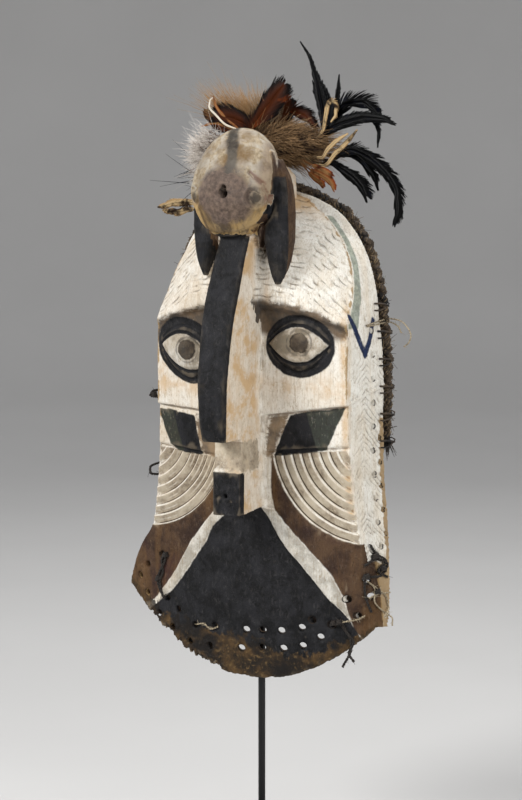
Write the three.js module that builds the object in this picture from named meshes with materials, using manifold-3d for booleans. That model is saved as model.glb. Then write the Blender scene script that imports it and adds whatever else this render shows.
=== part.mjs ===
// A kifwebe face mask, about half a metre tall, on its display stand.
// One log is carved into a hollow face shell with a blade nose, a box mouth and, above the brow,
// an animal's head between two drooping horns. A raffia braid is sewn along the back edge, feathers
// and down stand behind the crest, and a steel rod on a square foot holds the mask from inside.
// Units are millimetres. The face looks along -Y, +X is to the viewer's right and +Z is up.
// The origin is the centre of the foot's underside.

import * as THREE from 'three';
import { mergeVertices } from 'three/addons/utils/BufferGeometryUtils.js';
import Module from 'manifold-3d';

const wasm = await Module();
wasm.setup();

// Driving dimensions
const WALL = 9;                 // thickness of the carved shell
const FOOT = { width: 150, depth: 130, height: 12 };
const ROD_RADIUS = 3.2;
const CHIN_HEIGHT = 170;        // lowest point of the chin above the table
const ROD_PLACE = { x: 2, y: 15 };   // in the mask's own frame, which starts at the chin
const ROD_TOP = 395;
const ARM = { z: 268, halfSpan: 70, reach: 8.5 };
const THIN_RIM = 2.5;           // where the wall runs out into the rim at the jaws and the crown
const NOSE_BOTTOM = 221;
const BRAID_RADIUS = 6;
const GAP = 0.4;                // between pieces that touch
const HOLE_RADIUS = 3.1;

// The shell's outer face, level by level from chin to crown. Each level is a line across the face:
// z at the middle and at its left and right ends, depth y at the middle and at the face's edges,
// half width of the face, half width and depth of the back rim, how the line bows, and how much
// wider the left jaw is.
const LEVEL_COLUMNS = [
  'zMid', 'zLeft', 'zRight', 'yMid', 'yEdge', 'halfFace', 'halfRim', 'yRim', 'bow', 'flare',
];
const LEVELS = [
  [0, 68, 54, -4, 17, 116, 123, 23, 2.1, 21],
  [32, 86, 70, -5, 15, 113, 122, 28, 2.1, 19],
  [80, 108, 98, -6, 10, 108, 119, 35, 2, 13],
  [125, 132, 130, -6, 5, 103, 115, 41, 1.6, 2],
  [165, 170, 168, -6, 1, 98, 111, 44, 1.2, 0],
  [195, 204, 203, -6, 0, 95, 109, 44, 1, 0],
  [235, 241, 249, -6, -1, 94, 108, 44, 1, 0],
  [237, 243, 251, -9, -4, 94, 108, 44, 1, 0],
  [285, 280, 285, -11, -4, 94, 107, 44, 1.5, 0],
  [331, 311, 312, -13, -3, 94, 105, 44, 2, 0],
  [338, 317, 317, -23, -5, 94, 104, 44, 2.1, 0],
  [358, 343, 343, -25, 11, 92, 101, 44, 1.8, 0],
  [380, 375, 375, -18, 24, 83, 93, 44, 1.3, 0],
  [409, 405, 405, 2, 35, 60, 76, 44, 1.2, 0],
  [428, 423, 423, 22, 40, 36, 56, 44, 1.5, 0],
  [438, 435, 435, 40, 43, 12, 26, 44, 2, 0],
].map((row) => Object.fromEntries(row.map((value, i) => [LEVEL_COLUMNS[i], value])));
const RINGS_BETWEEN = 1;        // extra rings between the levels that stand far apart
const FRONT_COLUMNS = 5;        // from the middle to one edge of the face

// Small tools

function geometryFrom(points, triangles) {
  const geometry = new THREE.BufferGeometry();
  geometry.setAttribute('position', new THREE.Float32BufferAttribute(points.flat(), 3));
  geometry.setIndex(triangles.flat());
  return geometry;
}

function toSolid(geometry) {
  const bare = geometry.clone();
  bare.deleteAttribute('normal');
  bare.deleteAttribute('uv');
  const merged = mergeVertices(bare, 1e-4);
  return new wasm.Manifold(new wasm.Mesh({
    numProp: 3,
    vertProperties: merged.attributes.position.array,
    triVerts: new Uint32Array(merged.index.array),
  }));
}

function toGeometry(solid) {
  const mesh = solid.getMesh();
  const geometry = new THREE.BufferGeometry();
  geometry.setAttribute('position', new THREE.BufferAttribute(new Float32Array(mesh.vertProperties), 3));
  geometry.setIndex(new THREE.BufferAttribute(new Uint32Array(mesh.triVerts), 1));
  return geometry;
}

// Joins rings of equally many points into a closed skin with flat ends.
function loft(rings) {
  const points = rings.flat();
  const sides = rings[0].length;
  const triangles = [];
  for (let i = 0; i + 1 < rings.length; i++) {
    for (let j = 0; j < sides; j++) {
      const a = i * sides + j;
      const b = i * sides + (j + 1) % sides;
      triangles.push([a, b, b + sides], [a, b + sides, a + sides]);
    }
  }
  const last = (rings.length - 1) * sides;
  for (let j = 1; j + 1 < sides; j++) {
    triangles.push([0, j + 1, j], [last, last + j, last + j + 1]);
  }
  return geometryFrom(points, triangles);
}

function ellipsoid(place, radii, widthSegments = 20, heightSegments = 14) {
  const geometry = new THREE.SphereGeometry(1, widthSegments, heightSegments);
  geometry.scale(...radii);
  geometry.translate(...place);
  return toSolid(geometry);
}

function mix(a, b, t) {
  return a + (b - a) * t;
}

// The carved shell

function levelsWithRings() {
  const rings = [];
  for (let i = 0; i + 1 < LEVELS.length; i++) {
    const [low, high] = [LEVELS[i], LEVELS[i + 1]];
    const steps = high.zMid - low.zMid > 15 ? RINGS_BETWEEN + 1 : 1;
    for (let k = 0; k < steps; k++) {
      const ring = {};
      for (const key of LEVEL_COLUMNS) ring[key] = mix(low[key], high[key], k / steps);
      rings.push(ring);
    }
  }
  rings.push(LEVELS[LEVELS.length - 1]);
  return rings;
}

// Points across one level, from the left rim to the right rim. inset moves them into the wood.
function across(ring, inset) {
  const halfFace = Math.max(ring.halfFace - inset * 0.75, 3);
  const halfRim = Math.max(ring.halfRim - inset, 5);
  const crown = Math.max(0, ring.zMid - 360) / 75;
  const drop = inset * Math.min(1, crown);
  const deeper = inset * (1 - 0.35 * Math.min(1, crown));
  const row = [];
  for (const side of [-1, 1]) {
    const zEnd = side < 0 ? ring.zLeft : ring.zRight;
    const flare = side < 0 ? ring.flare : 0;
    const half = [];
    for (let k = side < 0 ? 0 : 1; k <= FRONT_COLUMNS; k++) {
      const t = k / FRONT_COLUMNS;
      half.push([
        side * (halfFace + flare) * t,
        Math.min(mix(ring.yMid, ring.yEdge, t ** 2) + deeper, ring.yRim - THIN_RIM * (inset > 0)),
        mix(ring.zMid, zEnd, t ** ring.bow) - drop,
      ]);
    }
    for (const t of [0.5, 1]) {
      const yEdge = Math.min(ring.yEdge + deeper, ring.yRim - THIN_RIM * (inset > 0));
      const wide = mix(halfFace + flare, halfRim + flare * 0.65, t);
      half.push([side * wide, mix(yEdge, ring.yRim, t), zEnd - drop]);
    }
    row.push(...(side < 0 ? half.reverse() : half));
  }
  return row;
}

// The hollow is gouged smooth, so it leaves out the steps of the brow and the cheeks.
function smoothed(rings) {
  return rings.map((ring, i) => {
    if (i === 0 || i === rings.length - 1) return ring;
    const [low, high] = [rings[i - 1], rings[i + 1]];
    const yMid = (low.yMid + 2 * ring.yMid + high.yMid) / 4;
    const yEdge = (low.yEdge + 2 * ring.yEdge + high.yEdge) / 4;
    return { ...ring, yMid, yEdge };
  });
}

function carvedShell() {
  const rings = levelsWithRings();
  const outer = rings.map((ring) => across(ring, 0));
  const inner = smoothed(smoothed(rings)).map((ring) => across(ring, WALL));
  const columns = outer[0].length;
  const layer = rings.length * columns;
  const triangles = [];
  const quad = (a, b, c, d) => triangles.push([a, b, c], [a, c, d]);
  for (let i = 0; i + 1 < rings.length; i++) {
    for (let j = 0; j + 1 < columns; j++) {
      const a = i * columns + j;
      quad(a, a + 1, a + 1 + columns, a + columns);
      quad(layer + a, layer + a + columns, layer + a + 1 + columns, layer + a + 1);
    }
  }
  const seam = (a, b) => quad(b, a, a + layer, b + layer);
  for (let j = 0; j + 1 < columns; j++) {
    seam(j, j + 1);
    const top = (rings.length - 1) * columns + j;
    seam(top + 1, top);
  }
  for (let i = 0; i + 1 < rings.length; i++) {
    seam((i + 1) * columns, i * columns);
    seam(i * columns + columns - 1, (i + 1) * columns + columns - 1);
  }
  return toSolid(geometryFrom([...outer.flat(), ...inner.flat()], triangles));
}

// Depth of the outer face at a place seen from the front, between the two levels around it
function faceDepth(x, z) {
  const on = LEVELS.map((ring) => {
    const t = Math.min(Math.abs(x) / ring.halfFace, 1);
    const zEnd = x < 0 ? ring.zLeft : ring.zRight;
    return [mix(ring.zMid, zEnd, t ** ring.bow), mix(ring.yMid, ring.yEdge, t ** 2)];
  });
  const high = Math.max(1, on.findIndex(([level]) => level >= z));
  const [a, b] = [on[high - 1], on[high]];
  return mix(a[1], b[1], (z - a[0]) / (b[0] - a[0]));
}

// A V-shaped cut that follows the face along a line of [x, z] places
function faceGroove(line, halfWidth, depth) {
  const path = line.map(([x, z]) => new THREE.Vector3(x, faceDepth(x, z), z));
  const rings = path.map((point, i) => {
    const along = path[Math.min(i + 1, path.length - 1)].clone().sub(path[Math.max(i - 1, 0)]).normalize();
    const aside = new THREE.Vector3().crossVectors(new THREE.Vector3(0, 1, 0), along).normalize();
    return [[-halfWidth, -1.2], [halfWidth, -1.2], [0, depth]].map(([dx, dy]) => (
      point.clone().addScaledVector(aside, dx).add(new THREE.Vector3(0, dy, 0)).toArray()));
  });
  const cut = toSolid(loft(rings));
  return cut.volume() > 0 ? cut : toSolid(loft(rings.map((ring) => ring.reverse())));
}

// Fan of curved cuts on each cheek, between the painted band and the red-brown jaw
const FAN = { x: 114, z: 220, outer: 92, step: 8.6, count: 8, top: 200, steps: 5 };

function cheekFan(side) {
  const cuts = [];
  for (let k = 0; k < FAN.count; k++) {
    const radius = FAN.outer - FAN.step * k;
    const low = Math.asin((FAN.z - FAN.top) / radius);
    const farX = Math.min(FAN.x - 99, radius * 0.98);
    const high = Math.acos(farX / radius);
    if (high <= low + 0.1) continue;
    const line = Array.from({ length: FAN.steps + 1 }, (_, i) => {
      const angle = mix(low, high, i / FAN.steps);
      return [side * (FAN.x - radius * Math.cos(angle)), FAN.z - radius * Math.sin(angle)];
    });
    cuts.push(faceGroove(line, 1.8, 2.2));
  }
  const bandFoot = side < 0 ? [[-19, 195], [-55, 199], [-93, 203]] : [[19, 203], [55, 207], [93, 211]];
  cuts.push(faceGroove(bandFoot, 1.8, 2));
  return cuts;
}

// The blade nose. Each station gives the ridge's depth, its half width and the root's half width.
const NOSE_STATIONS = [
  { z: NOSE_BOTTOM, ridge: -71, halfRidge: 11,   halfRoot: 13.5 },
  { z: 238,         ridge: -74, halfRidge: 12.5, halfRoot: 13.5 },
  { z: 262,         ridge: -75, halfRidge: 13.5, halfRoot: 14 },
  { z: 294,         ridge: -71, halfRidge: 14.2, halfRoot: 15 },
  { z: 318,         ridge: -66, halfRidge: 14.6, halfRoot: 16 },
  { z: 337,         ridge: -60, halfRidge: 14.8, halfRoot: 16.5 },
  { z: 356,         ridge: -52, halfRidge: 14.6, halfRoot: 16.5 },
  { z: 374,         ridge: -44, halfRidge: 14,   halfRoot: 16 },
  { z: 395,         ridge: -33, halfRidge: 13.5, halfRoot: 15 },
];
const NOSE_ROOT = -4;

function noseBlade() {
  return toSolid(loft(NOSE_STATIONS.map(({ z, ridge, halfRidge, halfRoot }) => {
    const middle = mix(ridge, NOSE_ROOT, 0.5);
    const full = mix(halfRidge, halfRoot, 0.5) + 1;
    return [
      [-halfRidge + 1.5, ridge, z], [halfRidge - 1.5, ridge, z],
      [halfRidge, ridge + 1.5, z], [full, middle, z], [halfRoot, NOSE_ROOT, z],
      [-halfRoot, NOSE_ROOT, z], [-full, middle, z], [-halfRidge, ridge + 1.5, z],
    ];
  })));
}

// The box mouth and, between it and the nose, the lip that stands almost as far out
const MOUTH = { bottom: 154, top: 192, front: -48, rootDrop: 4, halfWidth: 13.2, halfRoot: 17 };

function mouthBlock() {
  const station = (z, front, halfRoot, rise = 0) => [
    [-MOUTH.halfWidth, front, z], [MOUTH.halfWidth, front, z],
    [halfRoot, -2, z + rise], [-halfRoot, -2, z + rise],
  ];
  const column = toSolid(loft([
    station(MOUTH.bottom, MOUTH.front + 1, MOUTH.halfRoot, MOUTH.rootDrop),
    station(MOUTH.top, MOUTH.front, MOUTH.halfRoot - 1),
    station(MOUTH.top + 1.5, MOUTH.front + 3, MOUTH.halfRoot - 1),
    station(NOSE_BOTTOM + 1, MOUTH.front + 4.5, MOUTH.halfRoot - 2),
  ]));
  const hole = new THREE.CylinderGeometry(2.2, 2.2, 16, 12);
  hole.translate(-1, MOUTH.front, 171);
  return column.subtract(toSolid(hole));
}

// The animal's head over the brow
const HEAD = { y: -33, z: 440, halfWidth: 38.5, front: 22, back: 38, halfHeight: 47, lean: 4.5 };

function crestHead() {
  const geometry = new THREE.SphereGeometry(1, 24, 16);
  const place = geometry.attributes.position;
  for (let i = 0; i < place.count; i++) {
    const [x, y, z] = [place.getX(i), place.getZ(i), place.getY(i)];
    const depth = y < 0 ? HEAD.front : HEAD.back;
    const muzzle = 6 * Math.max(0, -y) * Math.max(0, 1 - x * x - (z + 0.15) ** 2);
    place.setXYZ(i,
      x * HEAD.halfWidth + z * HEAD.lean,
      HEAD.y + y * depth - muzzle + Math.max(0, z) * 8,
      HEAD.z + z * HEAD.halfHeight);
  }
  const index = geometry.index.array;
  for (let i = 0; i < index.length; i += 3) [index[i], index[i + 1]] = [index[i + 1], index[i]];
  return toSolid(geometry);
}

// One drooping horn, from inside the head down to its tip against the forehead. The left one ends
// higher and nearer the nose.
const HORN_STATIONS = [
  { z: 352, x: 37,   y: -21, halfWidth: 2.5,  halfDepth: 4 },
  { z: 362, x: 37,   y: -20, halfWidth: 6,    halfDepth: 8 },
  { z: 377, x: 36.5, y: -18, halfWidth: 10,   halfDepth: 10.5 },
  { z: 396, x: 35.5, y: -16, halfWidth: 12.5, halfDepth: 12 },
  { z: 418, x: 35.5, y: -15, halfWidth: 12,   halfDepth: 12.5 },
  { z: 440, x: 34.5, y: -15, halfWidth: 10,   halfDepth: 12 },
  { z: 460, x: 30,   y: -17, halfWidth: 7,    halfDepth: 9 },
];

function horn(side) {
  const top = HORN_STATIONS[HORN_STATIONS.length - 1].z;
  const [rise, inward] = side < 0 ? [8, 4] : [2, 0];
  const rings = HORN_STATIONS.map(({ z: level, x: aside, y, halfWidth: w, halfDepth: d }) => {
    const toTip = (top - level) / (top - HORN_STATIONS[0].z);
    const x = aside - inward * toTip;
    const z = level + rise * toTip;
    const ring = [
      [-w, -d * 0.75], [-w * 0.75, -d], [w * 0.75, -d], [w, -d * 0.7],
      [w, d * 0.7], [w * 0.6, d], [-w * 0.6, d], [-w, d * 0.7],
    ].map(([dx, dy]) => [side * (x + dx), y + dy, z]);
    return side < 0 ? ring.reverse() : ring;
  });
  return toSolid(loft(rings));
}

// Sewing holes as [x, z]: two rows over the chin, then the pairs at the jaw corners
const CHIN_HOLES = [
  [-88, 62], [-75, 53], [-55, 41], [-32, 43], [-9, 43.5], [7.5, 45], [26, 46], [46, 50.5], [63, 58.5],
  [79, 55], [-99, 46], [-82, 35.5], [-61, 25], [-38, 24], [-14, 26], [7, 29], [28, 30], [47, 34], [64, 43],
];
const JAW_HOLES = [[-93, 102], [-113, 90], [-125, 78], [-115, 63], [92, 79], [99, 64], [108, 96], [112, 82]];
const SIDE_HOLES = { radius: 2.8, y: 30, low: 124, high: 320, step: 21 };

function sewingHoles() {
  const bits = [...CHIN_HOLES, ...JAW_HOLES].map(([x, z]) => {
    const bit = new THREE.CylinderGeometry(HOLE_RADIUS, HOLE_RADIUS, 90, 7);
    bit.rotateZ(-x / 400);
    bit.translate(x, 10, z);
    return toSolid(bit);
  });
  for (const side of [-1, 1]) {
    for (let z = SIDE_HOLES.low; z < SIDE_HOLES.high; z += SIDE_HOLES.step) {
      const bit = new THREE.CylinderGeometry(SIDE_HOLES.radius, SIDE_HOLES.radius, 60, 6);
      bit.rotateZ(Math.PI / 2);
      bit.translate(side * 110, SIDE_HOLES.y, z);
      bits.push(toSolid(bit));
    }
  }
  return bits;
}

// The neck that carries the head, and the peg behind it that the feathers are tied to
const NECK_STATIONS = [
  { z: 385, front: -24, back: 0,  halfWidth: 20 },
  { z: 410, front: -28, back: 22, halfWidth: 25 },
  { z: 428, front: -26, back: 42, halfWidth: 27 },
  { z: 446, front: -24, back: 42, halfWidth: 26 },
  { z: 456, front: -22, back: 32, halfWidth: 20 },
];

function neck() {
  return toSolid(loft(NECK_STATIONS.map(({ z, front, back, halfWidth: w }) => [
    [-w, front, z], [w, front, z], [w, back - 8, z], [w - 8, back, z], [8 - w, back, z], [-w, back - 8, z],
  ])));
}

// A turned disc that stands proud of a surface, its axis along the given direction
function stud(place, direction, radius, length, sides = 12) {
  const disc = new THREE.CylinderGeometry(radius * 0.85, radius, length, sides);
  disc.applyQuaternion(new THREE.Quaternion().setFromUnitVectors(
    new THREE.Vector3(0, 1, 0), new THREE.Vector3(...direction).normalize()));
  disc.translate(...place);
  return toSolid(disc);
}

const EYES = [{ x: -60, z: 293, pupil: 2 }, { x: 54, z: 306, pupil: -3 }];
const CREST_EYE = { x: 29, y: -45, z: 429 };
const NOSTRIL = { x: 4, z: 434, radius: 4.5 };

function carvedMask() {
  let wood = carvedShell();
  for (const { x, z, pupil } of EYES) {
    wood = wood.add(ellipsoid([x, -9, z], [25, 6.5, 15], 16, 8));
    wood = wood.add(stud([x + pupil, -14.5, z], [0, -1, 0], 9.5, 3));
  }
  for (const side of [-1, 1]) for (const cut of cheekFan(side)) wood = wood.subtract(cut);
  wood = wood.add(noseBlade()).add(mouthBlock());
  wood = wood.add(neck()).add(crestHead()).add(horn(-1)).add(horn(1));
  for (const side of [-1, 1]) {
    const { x, y, z } = CREST_EYE;
    wood = wood.add(stud([side * x, y, z], [side * 0.75, -0.65, 0], 6, 5, 10));
  }
  const muzzle = [NOSTRIL.x, HEAD.y - HEAD.front - 4, NOSTRIL.z];
  wood = wood.subtract(stud(muzzle, [0, -1, 0], NOSTRIL.radius, 24, 8));
  for (const bit of sewingHoles()) wood = wood.subtract(bit);
  return wood.simplify(0.05);
}

// Soft and separate pieces

// A closed tube along a path. radii gives the half thickness along and across the flat of the
// section at each station, so one function makes cords, quills and flat feathers alike.
function sweep(path, radii, sides = 8, flat = new THREE.Vector3(0, 1, 0)) {
  const rings = path.map((point, i) => {
    const before = path[Math.max(i - 1, 0)];
    const after = path[Math.min(i + 1, path.length - 1)];
    const along = after.clone().sub(before).normalize();
    const across = new THREE.Vector3().crossVectors(flat, along).normalize();
    const up = new THREE.Vector3().crossVectors(along, across).normalize();
    const [wide, thick] = radii(i / (path.length - 1));
    return Array.from({ length: sides }, (_, k) => {
      const angle = (2 * Math.PI * k) / sides;
      return point.clone()
        .addScaledVector(across, wide * Math.cos(angle))
        .addScaledVector(up, thick * Math.sin(angle))
        .toArray();
    });
  });
  return loft(rings);
}

// The raffia braid lies against the back of the rim, from the right cheek over the crown to the
// left temple, and thins to its torn ends.
function rimPoint(side, z) {
  const end = (ring) => (side < 0 ? ring.zLeft : ring.zRight);
  const high = Math.max(1, LEVELS.findIndex((ring) => end(ring) >= z));
  const [a, b] = [LEVELS[high - 1], LEVELS[high]];
  const t = (z - end(a)) / (end(b) - end(a));
  return side * mix(a.halfRim, b.halfRim, Math.min(Math.max(t, 0), 1));
}

const BRAID = { rightEnd: 216, leftEnd: 250, lumps: 34 };

function braidPath() {
  const y = 44 + BRAID_RADIUS + GAP + 0.6;
  const points = [];
  for (let z = BRAID.rightEnd; z < 430; z += 18) points.push(new THREE.Vector3(rimPoint(1, z) - 1, y, z));
  points.push(new THREE.Vector3(0, y, 436));
  for (let z = 425; z > BRAID.leftEnd; z -= 18) points.push(new THREE.Vector3(rimPoint(-1, z) + 1, y, z));
  return new THREE.CatmullRomCurve3(points);
}

function braid() {
  const path = braidPath().getSpacedPoints(BRAID.lumps * 2);
  return sweep(path, (t) => {
    const lump = 0.9 + 0.1 * Math.cos(2 * Math.PI * BRAID.lumps * t);
    const torn = Math.min(1, 0.45 + 3.4 * t, 0.35 + 5 * (1 - t));
    return [BRAID_RADIUS * lump * torn, BRAID_RADIUS * (1.9 - lump) * torn];
  }, 6);
}

// The hide pad that binds the feather roots to the neck
const PAD = { x: 8, y: 40, z: 472, halfWidth: 34, halfDepth: 16, halfHeight: 16 };

function hidePad() {
  const skin = ellipsoid([PAD.x, PAD.y, PAD.z], [PAD.halfWidth, PAD.halfDepth, PAD.halfHeight], 16, 10);
  const cleared = ellipsoid([0, HEAD.y + 6, HEAD.z], [42, 42, 53], 20, 14);
  return skin.subtract(cleared);
}

// A feather leaves its root at one heading and bends to another. Headings are degrees from
// straight up, positive to the right; back is how far the tip ends behind the root.
function feather({ root, length, from, to, back = 0, width, quill = 0.9 }) {
  const steps = 8;
  const points = [new THREE.Vector3(...root)];
  for (let i = 0; i < steps; i++) {
    const heading = (mix(from, to, (i + 0.5) / steps) * Math.PI) / 180;
    const last = points[points.length - 1];
    points.push(last.clone().add(new THREE.Vector3(
      (Math.sin(heading) * length) / steps,
      back / steps,
      (Math.cos(heading) * length) / steps,
    )));
  }
  return sweep(points, (t) => {
    const vane = Math.sin(Math.PI * Math.min(1, Math.max(0, (t - 0.12) / 0.88)) ** 0.75);
    return [quill + (width / 2) * Math.max(0, vane) * (t > 0.99 ? 0.3 : 1), quill * (1 - 0.6 * t)];
  }, 4);
}

const FEATHERS = {
  feather_black_tall:    { root: [44, 44, 489],  length: 78, from: 6,   to: -36, back: 6,  width: 11 },
  feather_black_short:   { root: [49, 36, 486],  length: 50, from: 8,   to: 30,  back: -4, width: 9 },
  feather_black_broad:   { root: [36, 54, 489],  length: 48, from: 30,  to: 50,  back: 10, width: 17 },
  feather_black_arched:  { root: [50, 46, 482],  length: 72, from: 38,  to: 138, back: 4,  width: 12 },
  feather_black_level:   { root: [50, 38, 476],  length: 78, from: 50,  to: 105, back: -6, width: 15 },
  feather_black_sickle:  { root: [50, 44, 466],  length: 112, from: 70, to: 190, back: 6,  width: 15 },
  feather_black_low:     { root: [44, 38, 456],  length: 56, from: 100, to: 138, back: 0,  width: 11 },
  feather_black_hanging: { root: [48, 50, 473],  length: 66, from: 62,  to: 160, back: 12, width: 10 },
  quill_cream_long:      { root: [45, 30, 461],  length: 40, from: 58,  to: 38,  back: -2, width: 5 },
  quill_cream_short:     { root: [40, 28, 458],  length: 30, from: 66,  to: 50,  back: -4, width: 4 },
  feather_orange:        { root: [36, 27, 448],  length: 24, from: 110, to: 92,  back: -6, width: 8 },
  feather_brown_broad:   { root: [-10, 34, 489], length: 44, from: 8,   to: 62,  back: -8, width: 24 },
  feather_brown_left:    { root: [-20, 36, 488], length: 46, from: -58, to: -34, back: -6, width: 20 },
  quill_white_curved:    { root: [-26, 32, 482], length: 46, from: -66, to: -18, back: -8, width: 5 },
  quill_orange_left:     { root: [-27, 42, 487], length: 46, from: -78, to: -96, back: -2, width: 6 },
  quill_rim_left:        { root: [-72, 54, 419], length: 38, from: -84, to: -92, back: -8, width: 7 },
};

// Down is tied in tufts that widen away from their root.
function tuft({ root, tip, halfWidth, ragged }) {
  const steps = 9;
  const [a, b] = [new THREE.Vector3(...root), new THREE.Vector3(...tip)];
  const points = Array.from({ length: steps + 1 }, (_, i) => a.clone().lerp(b, i / steps));
  return sweep(points, (t) => {
    const swell = 1.5 + halfWidth * Math.sin(Math.PI * t ** 0.75) ** 0.7;
    return [swell * (1 + ragged * Math.sin(9 * t)), swell * 0.7];
  }, 9);
}

const TUFTS = {
  down_white: { root: [-31, 22, 464], tip: [-88, 10, 476], halfWidth: 22, ragged: 0.08 },
  down_tan:   { root: [-2, 46, 489],  tip: [-34, 52, 532], halfWidth: 17, ragged: 0.12 },
};

// The stand: a steel foot with a collar, and a rod that rises behind the chin, carries two arms
// against the inside of the face and bears under the crown.
function standFoot() {
  const plate = new THREE.BoxGeometry(FOOT.width, FOOT.depth, FOOT.height);
  plate.translate(0, 0, FOOT.height / 2);
  const collar = new THREE.CylinderGeometry(9, 9, 12, 16);
  collar.rotateX(Math.PI / 2);
  collar.translate(0, 0, FOOT.height + 5);
  const bore = new THREE.CylinderGeometry(ROD_RADIUS + GAP, ROD_RADIUS + GAP, 30, 14);
  bore.rotateX(Math.PI / 2);
  bore.translate(0, 0, FOOT.height / 2 + 15);
  return toSolid(plate).add(toSolid(collar)).subtract(toSolid(bore));
}

function rodBetween(from, to, radius) {
  const [a, b] = [new THREE.Vector3(...from), new THREE.Vector3(...to)];
  const bar = new THREE.CylinderGeometry(radius, radius, a.distanceTo(b), 10);
  bar.translate(0, a.distanceTo(b) / 2, 0);
  bar.applyQuaternion(new THREE.Quaternion().setFromUnitVectors(
    new THREE.Vector3(0, 1, 0), b.clone().sub(a).normalize()));
  bar.translate(a.x, a.y, a.z);
  return toSolid(bar);
}

function standRod() {
  const armZ = CHIN_HEIGHT + ARM.z;
  let rod = rodBetween([0, 0, FOOT.height / 2 + GAP], [0, 0, CHIN_HEIGHT + ROD_TOP], ROD_RADIUS);
  rod = rod.add(rodBetween([-ARM.halfSpan, 0, armZ], [ARM.halfSpan, 0, armZ], 2.5));
  for (const side of [-1, 1]) {
    rod = rod.add(rodBetween([side * ARM.halfSpan, 2, armZ], [side * ARM.halfSpan, -ARM.reach, armZ], 2.5));
    rod = rod.add(rodBetween(
      [side * ARM.halfSpan, -ARM.reach, armZ], [side * ARM.halfSpan, -ARM.reach - 2, armZ], 6));
  }
  return rod;
}

// Everything together

const mask = new THREE.Group();
const stand = new THREE.Group();
const colours = {
  wood: 0xd9d2c2, raffia: 0x4a382a, hide: 0x4f3b2c, steel: 0x17171b, black: 0x14151c,
  cream: 0xcfc2a4, orange: 0xa8602c, brown: 0x3a2a20, white: 0xd8d4ca, tan: 0x9a7a54,
};
const materials = Object.fromEntries(Object.entries(colours).map(([name, color]) => [
  name, new THREE.MeshStandardMaterial({ color, roughness: 0.85, metalness: name === 'steel' ? 0.8 : 0 }),
]));

function piece(name, geometry, material, parent = mask) {
  const mesh = new THREE.Mesh(geometry, material);
  mesh.name = name;
  parent.add(mesh);
}

piece('carved_mask', toGeometry(carvedMask()), materials.wood);
piece('raffia_braid', braid(), materials.raffia);
piece('hide_pad', toGeometry(hidePad()), materials.hide);
for (const [name, shape] of Object.entries(FEATHERS)) {
  const colour = Object.keys(materials).find((word) => name.includes(word)) ?? 'cream';
  piece(name, feather(shape), materials[colour]);
}
for (const [name, shape] of Object.entries(TUFTS)) piece(name, tuft(shape), materials[name.slice(5)]);
piece('stand_foot', toGeometry(standFoot()), materials.steel, stand);
piece('stand_rod', toGeometry(standRod()), materials.steel, stand);

const model = new THREE.Group();
mask.position.set(-ROD_PLACE.x, -ROD_PLACE.y, CHIN_HEIGHT);
model.add(mask, stand);

export default model;
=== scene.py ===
import math

import bmesh
import bpy
import numpy as np
from mathutils import Matrix, Vector, noise


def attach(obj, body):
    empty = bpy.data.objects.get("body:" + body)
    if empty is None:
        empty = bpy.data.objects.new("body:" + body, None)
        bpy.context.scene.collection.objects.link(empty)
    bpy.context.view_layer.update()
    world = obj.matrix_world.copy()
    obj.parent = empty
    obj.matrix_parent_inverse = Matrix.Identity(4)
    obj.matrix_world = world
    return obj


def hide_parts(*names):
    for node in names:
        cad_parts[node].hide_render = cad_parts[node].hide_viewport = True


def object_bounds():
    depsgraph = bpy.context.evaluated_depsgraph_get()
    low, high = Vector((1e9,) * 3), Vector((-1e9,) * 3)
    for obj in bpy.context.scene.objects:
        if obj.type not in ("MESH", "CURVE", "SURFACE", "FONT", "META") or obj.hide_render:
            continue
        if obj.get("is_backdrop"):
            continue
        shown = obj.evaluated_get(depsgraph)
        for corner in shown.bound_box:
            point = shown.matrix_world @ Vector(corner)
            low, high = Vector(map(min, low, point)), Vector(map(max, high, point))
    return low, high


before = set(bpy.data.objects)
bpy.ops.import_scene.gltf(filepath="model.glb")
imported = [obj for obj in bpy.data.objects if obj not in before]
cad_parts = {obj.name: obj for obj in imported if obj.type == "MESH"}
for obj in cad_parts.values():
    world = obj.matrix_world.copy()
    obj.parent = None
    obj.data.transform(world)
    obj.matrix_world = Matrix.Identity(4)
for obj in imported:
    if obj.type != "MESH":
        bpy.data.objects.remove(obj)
solid_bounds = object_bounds()

# The camera stands to the right of the mask and a little above it, as it did for the photograph, and
# takes in 704 mm from top to bottom where the face is. Left and right are as one faces the mask.
CHIN = Vector((-0.002, -0.015, 0.170))
AIM = CHIN + Vector((0.0085, 0.001, 0.2502))
AZIMUTH, ELEVATION = math.radians(27.7), math.radians(7.0)
CAMERA_DISTANCE = 1.7
PICTURE_HEIGHT = 0.704

look = Vector((-math.sin(AZIMUTH) * math.cos(ELEVATION), math.cos(AZIMUTH) * math.cos(ELEVATION),
               -math.sin(ELEVATION)))
camera_data = bpy.data.cameras.new("camera")
camera_data.sensor_fit = "VERTICAL"
camera_data.sensor_height = 24
camera_data.lens = 24 * CAMERA_DISTANCE / PICTURE_HEIGHT


def in_scene(name, data):
    """A new object that is in the scene."""
    made = bpy.data.objects.new(name, data)
    bpy.context.collection.objects.link(made)
    return made


camera = in_scene("camera", camera_data)
camera.matrix_world = (Matrix.Translation(AIM - look * CAMERA_DISTANCE)
                       @ look.to_track_quat("-Z", "Y").to_matrix().to_4x4())
bpy.context.scene.camera = camera

# The carved mask. One log, hollowed from behind to a wall of about 9 mm, with the blade nose, the
# box mouth, the neck and the crest's animal head left standing. Its paints are white kaolin, soot
# black, red-brown and green earth, and one stroke of blue, all worn along the edges.

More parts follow.
